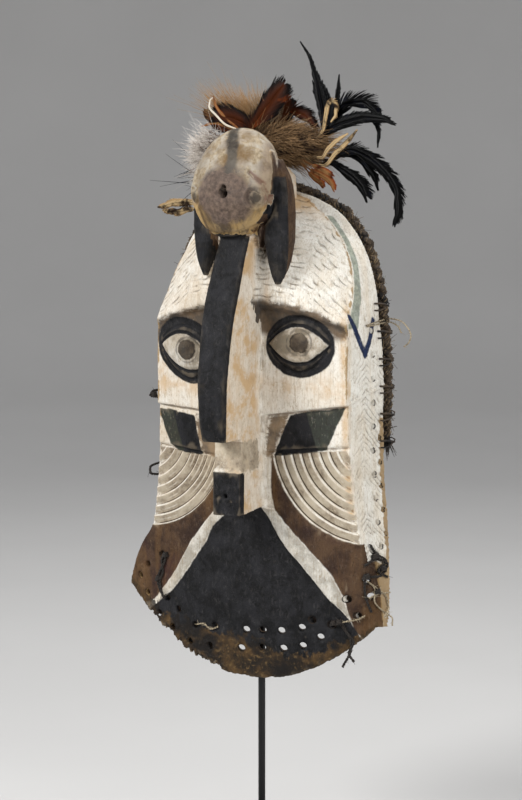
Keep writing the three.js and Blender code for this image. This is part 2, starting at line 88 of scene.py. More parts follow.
# Level by level from chin to crown, in millimetres: height in the middle, at the left and at the
# right, depth in the middle and at the face's edge, half width of face and of rim, depth of the
# rim, how the level bows, and how much wider the left jaw is.
LEVELS = np.array([
    (0, 68, 54, -4, 17, 116, 123, 23, 2.1, 21),
    (32, 86, 70, -5, 15, 113, 122, 28, 2.1, 19),
    (80, 108, 98, -6, 10, 108, 119, 35, 2.0, 13),
    (125, 132, 130, -6, 5, 103, 115, 41, 1.6, 2),
    (165, 170, 168, -6, 1, 98, 111, 44, 1.2, 0),
    (195, 204, 203, -6, 0, 95, 109, 44, 1.0, 0),
    (235, 241, 249, -6, -1, 94, 108, 44, 1.0, 0),
    (237, 243, 251, -9, -4, 94, 108, 44, 1.0, 0),
    (285, 280, 285, -11, -4, 94, 107, 44, 1.5, 0),
    (331, 311, 312, -13, -3, 94, 105, 44, 2.0, 0),
    (338, 317, 317, -23, -5, 94, 104, 44, 2.1, 0),
    (358, 343, 343, -25, 11, 92, 101, 44, 1.8, 0),
    (380, 375, 375, -18, 24, 83, 93, 44, 1.3, 0),
    (409, 405, 405, 2, 35, 60, 76, 44, 1.2, 0),
    (428, 423, 423, 22, 40, 36, 56, 44, 1.5, 0),
    (438, 435, 435, 40, 43, 12, 26, 44, 2.0, 0),
], dtype=float)
WALL = 9
LEAST_HOLLOW = 2.5              # the hollow is at least this deep, where the log runs out to the rim
ROWS, COLUMNS = 230, 150
FACE_PART = 0.76                # of the columns, the rest turn back along the sides
RIM_FLARE = 0.65                # this part of the left jaw's extra width reaches the rim too


def flowing(xs, ys, at):
    """A curve through the points that never overshoots them."""
    steps = np.diff(ys, axis=0) / np.diff(xs)[:, None]
    slopes = np.zeros_like(ys)
    same = steps[1:] * steps[:-1] > 0
    mean = 2 * steps[1:] * steps[:-1] / np.where(same, steps[1:] + steps[:-1], 1)
    slopes[1:-1] = np.where(same, mean, 0)
    slopes[0], slopes[-1] = steps[0], steps[-1]
    k = np.clip(np.searchsorted(xs, at) - 1, 0, len(xs) - 2)
    gap = (xs[k + 1] - xs[k])[:, None]
    t = ((at - xs[k])[:, None]) / gap
    return ((2 * t**3 - 3 * t**2 + 1) * ys[k] + (t**3 - 2 * t**2 + t) * gap * slopes[k]
            + (3 * t**2 - 2 * t**3) * ys[k + 1] + (t**3 - t**2) * gap * slopes[k + 1])


def shell_place(u, v, inset):
    """Where the shell's skin lies. u runs across, -1 to 1, and v from chin to crown, 0 to 1."""
    level = np.interp(v, np.linspace(0, 1, len(LEVELS)), LEVELS[:, 0])
    level = np.where(v >= 1, LEVELS[-1, 0], level)
    row = flowing(LEVELS[:, 0], LEVELS, level)
    z_mid, z_left, z_right, y_mid, y_edge, half_face, half_rim, y_rim, bow, flare = row.T
    side = np.sign(u)
    flare = np.where(side < 0, flare, 0)
    half_face = np.maximum(half_face - inset * 0.75, 3) + flare
    half_rim = np.maximum(half_rim - inset, 5) + flare * RIM_FLARE
    crown = np.clip((z_mid - 360) / 75, 0, 1)
    deeper = inset * (1 - 0.35 * crown)
    limit = y_rim - (LEAST_HOLLOW if inset else 0)
    t = np.minimum(np.abs(u) / FACE_PART, 1)
    back = np.clip((np.abs(u) - FACE_PART) / (1 - FACE_PART), 0, 1)
    x = side * (half_face * t + (half_rim - half_face) * back)
    y_front = np.minimum(y_mid + (y_edge - y_mid) * t**2 + deeper, limit)
    y = y_front + (y_rim - y_front) * back
    z_end = np.where(side < 0, z_left, z_right)
    z = z_mid + (z_end - z_mid) * t**bow - inset * crown
    return np.stack([x, y, z], axis=1)


def coordinates(mesh):
    """Every point of a mesh, one row each."""
    places = np.empty(len(mesh.vertices) * 3)
    mesh.vertices.foreach_get("co", places)
    return places.reshape(-1, 3)


def skin(inset):
    """One side of the wall, as a bmesh grid."""
    sheet = bmesh.new()
    bmesh.ops.create_grid(sheet, x_segments=COLUMNS, y_segments=ROWS, size=1)
    spots = np.array([v.co for v in sheet.verts])
    places = shell_place(spots[:, 0], (spots[:, 1] + 1) / 2, inset)
    for vert, place in zip(sheet.verts, places):
        vert.co = place
    if inset:
        bmesh.ops.smooth_vert(sheet, verts=sheet.verts, factor=0.5, use_axis_y=True)
        bmesh.ops.reverse_faces(sheet, faces=sheet.faces)
    return sheet


def as_mesh(shape, name):
    """The bmesh as a mesh of its own. The bmesh is used up."""
    mesh = bpy.data.meshes.new(name)
    shape.to_mesh(mesh)
    shape.free()
    return mesh


def lofted(rings):
    """A closed form through rings of equally many points, with flat ends."""
    rings = np.asarray(rings, dtype=float)
    sides = rings.shape[1]
    form = bmesh.new()
    bmesh.ops.create_grid(form, x_segments=sides, y_segments=len(rings) - 1, size=1)
    order = sorted(form.verts, key=lambda v: (round(v.co.y, 5), v.co.x))
    closed = np.concatenate([rings, rings[:, :1]], axis=1).reshape(-1, 3)
    for vert, place in zip(order, closed):
        vert.co = place
    bmesh.ops.remove_doubles(form, verts=form.verts, dist=1e-6)
    bmesh.ops.holes_fill(form, edges=[e for e in form.edges if e.is_boundary])
    bmesh.ops.recalc_face_normals(form, faces=form.faces)
    return form


shell = skin(0)
hollow = as_mesh(skin(WALL), "hollow")
shell.from_mesh(hollow)
rim_edges = [edge for edge in shell.edges if edge.is_boundary]
bmesh.ops.bridge_loops(shell, edges=rim_edges)
bmesh.ops.recalc_face_normals(shell, faces=shell.faces)

# The nose, the mouth and the neck stand out of the same log. Each row is a height, then depths and
# half widths in millimetres, as they are cut from the front towards the face.
NOSE = [(221, -71, 11, 13.5), (238, -74, 12.5, 13.5), (262, -75, 13.5, 14), (294, -71, 14.2, 15),
        (318, -66, 14.6, 16), (337, -60, 14.8, 16.5), (356, -52, 14.6, 16.5), (374, -44, 14, 16),
        (395, -33, 13.5, 15)]
MOUTH = [(154, 158, -47, 17), (192, 192, -48, 16), (193.5, 193.5, -45, 16), (222, 222, -43.5, 15)]
MOUTH_HALF_WIDTH = 13.2
NECK = [(385, -24, 0, 20), (410, -28, 22, 25), (428, -26, 42, 27), (446, -24, 42, 26), (456, -22, 32, 20)]
NECK_BEVEL = 8
HORN = [(352, 37, -21, 2.5, 4), (362, 37, -20, 6, 8), (377, 36.5, -18, 10, 10.5), (396, 35.5, -16, 12.5, 12),
        (418, 35.5, -15, 12, 12.5), (440, 34.5, -15, 10, 12), (460, 30, -17, 7, 9)]
HORN_SIDES, HORN_SQUARENESS = 20, 3.2


def finer(rows, count):
    """The same rows, with more of them in between on a flowing curve."""
    rows = np.array(rows, dtype=float)
    return flowing(rows[:, 0], rows, np.linspace(rows[0, 0], rows[-1, 0], count))


parts = [shell]
nose_rings = []
for z, ridge, half_ridge, half_root in finer(NOSE, 40):
    middle, full = (ridge - 4) / 2, (half_ridge + half_root) / 2 + 1
    nose_rings.append([(-half_ridge + 1.5, ridge, z), (half_ridge - 1.5, ridge, z),
                       (half_ridge, ridge + 1.5, z), (full, middle, z), (half_root, -4, z),
                       (-half_root, -4, z), (-full, middle, z), (-half_ridge, ridge + 1.5, z)])
parts.append(lofted(nose_rings))
w = MOUTH_HALF_WIDTH
parts.append(lofted([[(-w, front, z), (w, front, z), (root, -2, back_z), (-root, -2, back_z)]
                     for z, back_z, front, root in MOUTH]))
neck_rings = []
for z, front, back, w in finer(NECK, 16):
    neck_rings.append([(-w, front, z), (w, front, z), (w, back - NECK_BEVEL, z), (w - NECK_BEVEL, back, z),
                       (NECK_BEVEL - w, back, z), (-w, back - NECK_BEVEL, z)])
parts.append(lofted(neck_rings))

# The animal's head: an egg, flatter in front, with a drooping horn down each side
HEAD_HEIGHT, HEAD_DEPTH = 440, -33
HEAD_HALF_WIDTH, HEAD_HALF_HEIGHT = 38.5, 47
head = bmesh.new()
bmesh.ops.create_uvsphere(head, u_segments=72, v_segments=48, radius=1)
for vert in head.verts:
    x, y, z = vert.co
    depth = 22 if y < 0 else 38
    muzzle = 6 * max(0, -y) * max(0, 1 - x * x - (z + 0.15) ** 2)
    vert.co = (x * HEAD_HALF_WIDTH + z * 4.5, HEAD_DEPTH + y * depth - muzzle + max(0, z) * 8,
               HEAD_HEIGHT + z * HEAD_HALF_HEIGHT)
bmesh.ops.recalc_face_normals(head, faces=head.faces)
parts.append(head)
for side, rise, inward in ((-1, 8, 4), (1, 2, 0)):
    horn_rings = []
    for z, x, y, half_width, half_depth in finer(HORN, 44):
        turn = np.linspace(0, 2 * math.pi, HORN_SIDES, endpoint=False)
        fullness = (np.abs(np.cos(turn)) ** HORN_SQUARENESS
                    + np.abs(np.sin(turn)) ** HORN_SQUARENESS) ** (-1 / HORN_SQUARENESS)
        to_tip = (HORN[-1][0] - z) / (HORN[-1][0] - HORN[0][0])
        middle = side * (x - inward * to_tip)
        horn_rings.append(np.stack([middle + half_width * fullness * np.cos(turn),
                                    y + half_depth * fullness * np.sin(turn),
                                    np.full(HORN_SIDES, z + rise * to_tip)], axis=1))
    parts.append(lofted(horn_rings))

whole = bmesh.new()
for part in parts:
    whole.from_mesh(as_mesh(part, "part"))

# Bored holes: two rows over the chin, four at each jaw, two rows up each side, and the mouth's hole
# and the nostril, which go in only a little way. All of them are cut at once below.
CHIN_HOLE_RADIUS = 3.5
CHIN_AND_JAW_HOLES = (
    (-88, 62), (-75, 53), (-55, 41), (-32, 43), (-9, 43.5), (7.5, 45), (26, 46), (46, 50.5), (63, 58.5),
    (79, 55), (-99, 46), (-82, 35.5), (-61, 25), (-38, 24), (-14, 26), (7, 29), (28, 30), (47, 34), (64, 43),
    (-93, 102), (-113, 90), (-125, 78), (-115, 63), (92, 79), (99, 64), (108, 96), (112, 82),
)
SIDE_ROWS = ((30, 2.9, range(124, 320, 21)), (38, 2.5, range(134, 220, 21)))    # depth, radius, heights
MOUTH_AND_NOSTRIL = (((-1, -48, 171), 2.2, 16), ((4, -56, 432), 4.4, 22), ((4.6, -56, 436.5), 3, 22))
BACKWARDS, SIDEWAYS = (0, 1, 0), (1, 0, 0)
bored = []      # middle, direction, radius and half length of each hole, for the paints
bits = bmesh.new()


def drill(place, direction, radius, length):
    way = Vector(direction)
    bored.append((np.array(place, dtype=float), np.array(way.normalized()), radius, length / 2))
    turn = way.to_track_quat("Z", "Y").to_matrix().to_4x4()
    bmesh.ops.create_cone(bits, cap_ends=True, segments=16, radius1=radius, radius2=radius,
                          depth=length, matrix=Matrix.Translation(place) @ turn)


def slant(x, z):
    """How far a hole runs sideways for each millimetre back."""
    if x > 104:
        return -0.5
    return -0.4 if -15 < x < 65 and z < 52 else 0.3


for x, z in CHIN_AND_JAW_HOLES:
    drill((x, 10, z), (slant(x, z), 1, 0), CHIN_HOLE_RADIUS, 60 if x < 70 else 44)
for side in (-1, 1):
    for y, radius, heights in SIDE_ROWS:
        for z in heights:
            drill((side * 110, y, z), SIDEWAYS, radius, 60)
for place, radius, length in MOUTH_AND_NOSTRIL:
    drill(place, BACKWARDS, radius, length)

CUT_VOXEL = 1.0
MASK_TRIANGLES = 184000
carving = in_scene("carving", as_mesh(whole, "carving"))


def settled(thing, kind, **settings):
    """Gives the thing the mesh that one modifier makes of it."""
    modifier = thing.modifiers.new(kind, kind)
    for name, value in settings.items():
        setattr(modifier, name, value)
    shaped = bpy.data.meshes.new_from_object(thing.evaluated_get(bpy.context.evaluated_depsgraph_get()))
    thing.modifiers.clear()
    thing.data = shaped


settled(carving, "REMESH", mode="VOXEL", voxel_size=CUT_VOXEL)


def survey(points, ways):
    """Where each point of the wood lies.

    Gives its level, how far it stands back from the face, its depth under the outer skin, how much it
    belongs to the face and to a side, how far round the side it is, and the face's half width there."""
    x, y, z = points.T
    low, high = np.full(len(x), LEVELS[0, 0]), np.full(len(x), LEVELS[-1, 0])
    for _ in range(16):
        level = (low + high) / 2
        row = flowing(LEVELS[:, 0], LEVELS, level)
        z_mid, z_left, z_right, y_mid, y_edge, half_face, half_rim, y_rim, bow, flare = row.T
        flare = np.where(x < 0, flare, 0)
        t = np.minimum(np.abs(x) / (half_face + flare), 1)
        height = z_mid + (np.where(x < 0, z_left, z_right) - z_mid) * t**bow
        low, high = np.where(height < z, level, low), np.where(height < z, high, level)
    half_face = half_face + flare
    stands_back = y - (y_mid + (y_edge - y_mid) * t**2)
    turned = np.clip((y - y_edge) / np.maximum(y_rim - y_edge, 1), 0, 1)
    outside = half_face + (half_rim + flare * RIM_FLARE - half_face) * turned
    depth = np.minimum(stands_back, outside - np.abs(x))
    on_face = np.clip(1.6 - np.abs(stands_back) / 3, 0, 1) * np.clip(-ways[:, 1] * 3 - 0.6, 0, 1)
    on_side = np.clip(1.6 - np.abs(np.abs(x) - outside) / 3, 0, 1)
    on_side *= np.clip(np.abs(ways[:, 0]) * 3 - 1, 0, 1)
    return level, stands_back, depth, on_face, on_side, turned, half_face


def bump(distance, width):
    """1 on a line, falling to 0 at its width."""
    return np.clip(1 - (distance / width) ** 2, 0, 1) ** 2


def from_line(a, b, start, end):
    """How far each point (a, b) lies from the straight line between two corners."""
    (ax, ay), (bx, by) = start, end
    along = ((a - ax) * (bx - ax) + (b - ay) * (by - ay)) / ((bx - ax) ** 2 + (by - ay) ** 2)
    along = np.clip(along, 0, 1)
    return np.hypot(a - ax - along * (bx - ax), b - ay - along * (by - ay))


def within(a, b, corners):
    """How far inside a patch each point (a, b) lies, below 0 outside."""
    best, crossings = np.full(len(a), 1e9), np.zeros(len(a), dtype=int)
    for (ax, ay), (bx, by) in zip(corners, corners[1:] + corners[:1]):
        best = np.minimum(best, from_line(a, b, (ax, ay), (bx, by)))
        if ay != by:
            crossings += ((ay > b) != (by > b)) & (a < ax + (b - ay) / (by - ay) * (bx - ax))
    return np.where(crossings % 2 == 1, best, -best)


def beside(a, b, corners, half_width):
    """How far inside a stroke through the corners each point lies, below 0 outside."""
    best = np.full(len(a), 1e9)
    for start, end in zip(corners, corners[1:]):
        best = np.minimum(best, from_line(a, b, start, end))
    return half_width - best


def normals(mesh):
    """Which way the surface faces at every point of a mesh."""
    ways = np.empty(len(mesh.vertices) * 3)
    mesh.vertices.foreach_get("normal", ways)
    return ways.reshape(-1, 3)


settled(carving, "SMOOTH", factor=0.5, iterations=3)
wood = coordinates(carving.data)
facing = normals(carving.data)
x, y, z = wood.T
level, stands_back, depth, on_face, on_side, turned, half_face = survey(wood, facing)

# The eyes bulge, with a lid line round the almond, a fold under it and one over it, and a ring for
# the pupil.
EYES = (      # middle, half width and height, how it slopes, pupil
    (51, 302, 27, 15, 0.0, (54, 304)),
    (-60, 291, 27, 15, -0.2, (-57, 293)),
)


def almond(x, z, eye_x, eye_z, half_width, half_height, slope):
    """Part across an eye, height above its middle, and how far inside its lids each point lies."""
    dx, dz = (x - eye_x) / half_width, z - eye_z - slope * (x - eye_x)
    lid = np.where(np.abs(dx) < 1, half_height * (1 - dx**2), half_width * (1 - np.abs(dx)))
    return dx, dz, lid - np.abs(dz)


lift = np.zeros(len(x))
for *eye, pupil in EYES:
    dx, dz, lens = almond(x, z, *eye)
    half_width, half_height = eye[2:4]
    reach = np.hypot(dx * half_width, dz * 1.3)
    lift += 7 * np.clip(1 - (reach / 33) ** 2, 0, 1) ** 1.3 + 1.3 * np.clip(lens / 2.5 + 0.3, 0, 1)
    lift -= 1.6 * bump(lens + 1.5, 2.4)
    fold = half_height * 1.62 * (1 - (dx * 0.92) ** 2)
    lift -= 1.2 * bump(fold + dz, 2) * (np.abs(dx) < 0.95) * (dz < 0)
    lift -= 0.8 * bump(np.hypot(x - pupil[0], z - pupil[1]) - 9.5, 1.8) * (lens > 0.5)
    brow_fold = lens + 8 + 2 * dx
    lift -= 1.0 * bump(brow_fold, 1.8) * (np.abs(dx) < 1.0) * (dz > 0)

# A fan of gouged ridges on each cheek, a cut along both edges of the painted band, nicks on the brow,
# and a herringbone of nicks down each side. Where the phase is a whole number lies the middle of a
# nick, or the top of a ridge.
FAN_PLACE, FAN_OUTER, FAN_STEP, FAN_RINGS = (114, 220), 92, 8.6, 8.2
BAND_FOOT_LEFT, BAND_FOOT_RIGHT, BAND_TOP = 195.5, 203.5, 234.6
SLANT_STEP, BROW_STEP, SIDE_STEP = 6.2, 4.8, 5.6


def strokes(points, level, turned, stands_back):
    """For every point its strokes' phase, how far it is in the fan, on the brow and on a side's
    herringbone, and how strongly the strokes are cut there."""
    x, y, z = points.T
    patchy = np.array([noise.noise(Vector((a / 9, b / 14, c / 9))) for a, b, c in points])
    band_foot = np.where(x < 0, BAND_FOOT_LEFT, BAND_FOOT_RIGHT)
    rings_in = (FAN_OUTER - np.hypot(np.abs(x) - FAN_PLACE[0], z - FAN_PLACE[1])) / FAN_STEP
    in_fan = np.clip(rings_in * 6 + 1, 0, 1) * np.clip((FAN_RINGS - rings_in) * 3, 0, 1)
    in_fan *= np.clip(band_foot - 1 - level, 0, 1) * np.clip(1 - turned * 10, 0, 1)
    outer_part = np.clip((np.abs(x) - 50) / 10, 0, 1)
    on_brow = np.clip((level - 341) / 4, 0, 1) * np.abs(2 * outer_part - 1)
    on_brow *= np.clip(1 - turned * 10, 0, 1)
    on_brow *= np.clip(stands_back / 2 + 3, 0, 1)
    slanting = (np.abs(x) * 0.95 + z * 1.05 + 3 * patchy) / SLANT_STEP
    level_ones = (z + 0.0022 * x * x + 3 * patchy) / BROW_STEP
    from_spine = np.abs(y - (18 + 0.03 * (z - 180)))
    herringbone = (z + from_spine * 1.05 + 3 * patchy) / SIDE_STEP
    on_flank = np.clip((300 - z) / 20, 0, 1) * np.clip((z - 95) / 15, 0, 1)
    on_flank *= np.clip(turned * 10 - 1, 0, 1)
    phase = np.where(in_fan > 0, rings_in, np.where(on_flank > 0, herringbone,
                     np.where(outer_part > 0.5, slanting, level_ones)))
    return phase, in_fan, on_brow, on_flank, np.clip(0.55 + 1.9 * patchy, 0.12, 1)


phase, in_fan, on_brow, on_flank, broken = strokes(wood, level, turned, stands_back)
ring_part = phase - np.floor(phase)
from_cut = phase - np.round(phase)
lift -= in_fan * 2.6 * np.where(ring_part < 0.16, ring_part / 0.16, ((1 - ring_part) / 0.84) ** 1.5)
lift -= on_brow * 0.8 * broken * bump(from_cut, 0.26)
band_foot = np.where(x < 0, BAND_FOOT_LEFT, BAND_FOOT_RIGHT)
off_nose = np.clip((np.abs(x) - 17) / 2, 0, 1)
lift -= 2.4 * bump(level - band_foot, 2.2) * off_nose
lift -= 1.3 * bump(level - BAND_TOP, 1.7) * off_nose

# The white strips beside the chin stand a little proud. Each has an edge to the black chin and one
# to the brown jaw.
RIGHT_INNER = ((13, 156), (19, 149), (25, 139), (31, 129), (39, 119), (50, 108), (59, 97), (68, 87),
               (76, 77), (85, 69), (91, 62))
RIGHT_OUTER = ((25, 155), (41, 138), (58, 121), (77, 101), (87, 82), (92, 64))
LEFT_INNER = ((-19, 152), (-37, 135), (-44, 121), (-53, 109), (-61, 98), (-71, 84), (-84, 70), (-99, 58))
LEFT_OUTER = ((-30, 155), (-45, 138), (-62, 117), (-73, 98), (-85, 81), (-97, 68))
CHIN_STRIPS = (RIGHT_INNER + RIGHT_OUTER[::-1], LEFT_INNER + LEFT_OUTER[::-1])
for strip in CHIN_STRIPS:
    lift += 1.2 * np.clip(within(x, z, strip) / 2 + 0.5, 0, 1)

# Down each side runs the herringbone, and a low ridge lies across it.
side_lift = -1.1 * bump(from_cut, 0.28) * broken * on_flank
side_lift += 1.2 * bump(z - (252 + 0.3 * y - 9 * (x < 0)), 1.8)

# On the crest: an eye with a ring on each side, a line for the mouth, and a groove that runs down
# beside the muzzle at the right.
CREST_EYES = ((29, -48.5, 428), (-29, -48.5, 429))
MOUTH_LINE = ((-36, 406), (-24, 400), (-8, 396.5), (8, 397.5), (20, 402), (33, 412))
JAW_LINE = ((24, 450), (34, 440), (36, 428), (33, 414), (26, 406), (15, 399))


def from_head_middle(x, z, wider=0.0, taller=0.0):
    """How far out in the head's leaning oval each point lies, 1 at its edge."""
    up = z - HEAD_HEIGHT
    return np.hypot((x - up / 10.4) / (HEAD_HALF_WIDTH + wider), up / (HEAD_HALF_HEIGHT + taller))


def from_crest_eye(points, eye_x, eye_y, eye_z):
    """How far each point lies from the middle of one of the crest's eyes."""
    x, y, z = points.T
    return np.hypot(np.hypot(x - eye_x, y - eye_y) / 1.15, (z - eye_z) * 0.85)


on_crest = (from_head_middle(x, z, 2, 2) < 1.03) & (y < -20) & (z > 388)
crest_lift = np.zeros(len(x))
for eye in CREST_EYES:
    away = from_crest_eye(wood, *eye)
    crest_lift += 1.6 * np.clip(1 - (away / 5.5) ** 2, 0, 1) - 1.3 * bump(away - 6.2, 1.7)
    crest_lift += 0.9 * bump(away - 9, 2.2)
for line, width in ((MOUTH_LINE, 1.5), (JAW_LINE, 1.7)):
    crest_lift -= 1.9 * bump(beside(x, z, line, 0), width)

# Adze flats all over, deep behind and hardly felt in front
unpainted = np.clip((depth - 3) / 3, 0, 1)
adze = np.array([noise.noise(Vector((a / 13, b / 13, c / 30))) for a, b, c in wood])
knocks = np.array([noise.noise(Vector((a / 4.5 + 9, b / 4.5, c / 6))) for a, b, c in wood])
plain = 0.5 * adze + 0.22 * knocks
gouged = 1.9 * adze + 0.3 * knocks

# The chin's edge is worn ragged, most of all at its lower left, where bits have broken off.
edge_wear = np.clip(1 - level / 14, 0, 1) * (stands_back > -4)
raggedness = np.where((x < -30) & (x > -112), 7.5, 1.4)
shift = lift * on_face + side_lift * on_side * (1 - on_face) + np.where(unpainted > 0, gouged, plain)
shift += np.where(on_crest, crest_lift, 0)
wood = wood + facing * shift[:, None]
crumbled = edge_wear * raggedness * (np.abs(adze) * 0.7 + np.abs(knocks) * 1.1)
wood[:, 2] += crumbled
wood[:, 0] -= np.sign(x) * crumbled * np.clip((np.abs(x) - 60) / 40, 0, 1)
lumps = np.where((x < -20) & (level < 22) & (level > 2) & (stands_back < 3), 1.6 * np.abs(knocks), 0)
wood = wood + facing * lumps[:, None]
carving.data.vertices.foreach_set("co", wood.ravel())
carving.data.update()

drills = in_scene("drills", as_mesh(bits, "drills"))
settled(carving, "BOOLEAN", operation="DIFFERENCE", object=drills, solver="MANIFOLD")
bpy.data.objects.remove(drills)
settled(carving, "DECIMATE", ratio=MASK_TRIANGLES / (2 * len(carving.data.polygons)))

# Its paints. Each is kept on the mesh as the distance in millimetres inside its own edge, so that
# the edge can be ragged. Corners run round each patch as it is seen from the front.
RINGS = ((51.5, 300.5, 32, 27.5), (-60, 292, 33, 29))
CHIN_SOOT = ((-13, 156),) + RIGHT_INNER + ((104, 40), (40, -10), (-60, -10), (-128, 36)) + LEFT_INNER[::-1]
BAND_SOOT = (((40, 239.6), (55.5, 242.3), (66.5, 208), (24, 202)),
             ((-79.5, 237), (-56, 233.5), (-48, 198), (-68, 199)))
BAND_GREEN = (((50, 242.3), (92, 248.5), (74, 210), (60, 208)),
              ((-96, 238), (-74, 237), (-62, 199), (-74, 200), (-82, 205)))
BAND_EARTH = (((19, 236), (41, 240), (25, 202), (17, 202)),
              ((-57, 234), (-17, 230), (-17, 192), (-49, 198)))
JAWS = (
    ((22, 170), (22, 206), (130, 150), (132, 20), (96, 50)) + RIGHT_OUTER[::-1],
    ((-22, 170), (-22, 206), (-130, 150), (-150, 120), (-150, 40), (-106, 58)) + LEFT_OUTER[::-1],
)
NECK_SHADOW = ((10, 415), (33, 415), (28, 388), (24, 370), (19, 368), (14, 392))
BLUE_STROKE = ((1, 326), (20, 292), (34, 322))
BROW_EDGE = ((-93, 317), (-77, 323.5), (-42, 332), (22, 342), (33, 338), (56, 334.5), (73, 328.5),
             (93, 317.5))
PAINTS = ("soot", "earth", "green", "blue", "bare", "rim", "tan", "shadow", "wash_and_shade", "pupil", "dusk", "iris",
          "ochre", "faded")
OUTSIDE, FAR_OUTSIDE = -6.0, -30.0


def round_patch(a, b, middle_a, middle_b, half_a, half_b):
    """How far inside an oval each point (a, b) lies, below 0 outside."""
    return (1 - np.hypot((a - middle_a) / half_a, (b - middle_b) / half_b)) * min(half_a, half_b)


wood = coordinates(carving.data)
facing = normals(carving.data)
x, y, z = wood.T
level, stands_back, depth, on_face, on_side, turned, half_face = survey(wood, facing)
ahead = -stands_back
paint = {name: np.full(len(x), OUTSIDE) for name in PAINTS}


def laid(name, inside, only):
    """Adds a patch to a paint, only where it may be."""
    paint[name] = np.maximum(paint[name], np.where(only, inside, OUTSIDE))


in_front = (ahead < 12) & (ahead > -14)
flat = in_front & (turned < 0.04)
brow = np.interp(x, *zip(*BROW_EDGE))
for ring, (*eye, pupil) in zip(RINGS, EYES):
    eye_x, eye_z, *_, slope = eye
    *_, lens = almond(x, z, *eye)
    outline = round_patch(x, z - slope * (x - eye_x), *ring)
    from_pupil = np.hypot(x - pupil[0], z - pupil[1])
    laid("soot", np.minimum(outline, -lens), flat)
    laid("pupil", 8.8 - from_pupil, flat & (lens > 0))
    laid("dusk", lens, flat)
    laid("iris", 0.9 - np.abs(from_pupil - 11.2), flat & (lens > -1))
    under_brow = np.minimum(brow - z + 2.5, (z - eye_z - 3) * 0.7)
    laid("shadow", np.minimum(under_brow, 60 - np.abs(x - eye_x - 4)),
         flat & (np.abs(x) > 16) & (x * eye_x > 0) & (outline < 1))
for strip in CHIN_STRIPS:
    laid("dusk", np.minimum(within(x, z, strip), 0.4), flat)
for patch in (CHIN_SOOT, *BAND_SOOT):
    laid("soot", within(x, z, patch), flat)
for patch in BAND_GREEN:
    laid("green", within(x, z, patch), flat)
for patch in BAND_EARTH:
    laid("tan", within(x, z, patch) * 0.6, flat)
outer_arc = np.hypot(np.abs(x) - FAN_PLACE[0], z - FAN_PLACE[1]) - FAN_OUTER
for patch in JAWS:
    laid("earth", np.minimum(within(x, z, patch), outer_arc), in_front & (turned < 0.16))
phase, in_fan, on_brow, on_flank, broken = strokes(wood, level, turned, stands_back)
laid("wash_and_shade", (in_fan - 0.5) * 12, flat)

# Ochre dust has settled beside the nose and the mouth, under the brows, on the cheeks and up by
# the braid.
for zone in (
    np.minimum(np.minimum(ahead - 3, 400 - z), z - 150) * 0.25 * (x > 0),
    3 - np.abs(x - 26) * 0.35 - np.abs(z - 322) * 0.08,
    1.5 - np.abs(z - 262) * 0.1,
    2.5 - np.abs(half_face - 3 - x) * 0.7 - np.maximum(z - 330, 0) * 0.2,
    (level - 412) * 0.2,
    3 - np.abs(x + 86) * 0.2 - np.abs(z - 270) * 0.1,
):
    laid("ochre", zone, (ahead > -8) & (turned < 0.1) & (z > 150))

# The nose's ridge, the mouth's front and the horns' fronts are black, the horns' outsides red-brown.
nose_rows = finer(NOSE, 60)
ridge = np.interp(z, nose_rows[:, 0], nose_rows[:, 1])
on_nose = (np.abs(x) < 17) & (ahead > 9) & (z > 219) & (z < 398)
laid("soot", (ridge + 4 - y) * 1.2, on_nose)
on_mouth = (np.abs(x) < 18) & (ahead > 9) & (z < 219)
laid("soot", np.minimum((-40 - y) * 2, 192 - z), on_mouth & (z < 192.5))
# The mouth's top under the nose gets the grey-brown wash: partly grime, partly painted shadow of the nose.
laid("wash_and_shade", np.minimum((z - 192) * 0.8, np.minimum(222 - z, 2.9)), on_mouth & (facing[:, 1] < 0.5))
on_horn = (z > 350) & (z < 450) & (np.abs(x) > 20) & (np.abs(x) < 50) & (ahead > 3) & (y > -35) & (y < 2)
from_middle = from_head_middle(x, z)
on_horn &= from_middle > 0.985
horn_front = (-y - 14) * 2 + (43.5 - np.abs(x)) * 1.5 - 11
laid("soot", np.minimum(np.minimum(horn_front, 9), (446 - z) * 0.6),
     on_horn & (np.abs(x) > 24 + np.maximum(z - 385, 0) * 0.2))
laid("earth", np.full(len(x), 8.0), on_horn)
laid("shadow", within(np.abs(x), z, NECK_SHADOW), (ahead > -1) & (y > -34) & ~on_horn)

# On the right side runs a broken green stripe, with a blue V at its foot. The side's paint stops short of its
# back edge and of the jaw, where the wood is bare.
on_right = (x > 40) & (turned > 0.0) & (depth < 4)
laid("faded", np.minimum(4.0 - np.abs(turned - 0.2) * 30, np.minimum(z - 316, 412 - z)), on_right)
laid("blue", beside(y, z, BLUE_STROKE, 2.8), on_right)
bare_edge = np.minimum((turned - 0.86) * 40, 236 - z)
bare_jaw = np.minimum((110 - z) * 0.5, (turned - 0.45) * 20)
laid("bare", np.maximum(bare_edge, bare_jaw), (turned > 0.05) & (z > 20) & (x > 0))
laid("earth", np.minimum(112 - z, (0.5 - turned) * 30), (x > 60) & (turned > 0.01) & (depth < 6))
laid("bare", np.maximum((turned - 0.8) * 40, 96 - z), (turned > 0.3) & (x < 0))
laid("bare", 0.9 - np.abs(half_face - np.abs(x)) - turned * 60,
     (ahead < 9) & (ahead > -6) & (z > 210) & (depth < 6))
worn_to = np.interp(x, (-120, -60, -10, 15, 28, 60, 90, 110), (16, 32, 36, 36, 22, 16, 12, 8))
laid("rim", (worn_to - level) * 0.4, (ahead < 6) & (depth < 12) & (turned < 0.3))

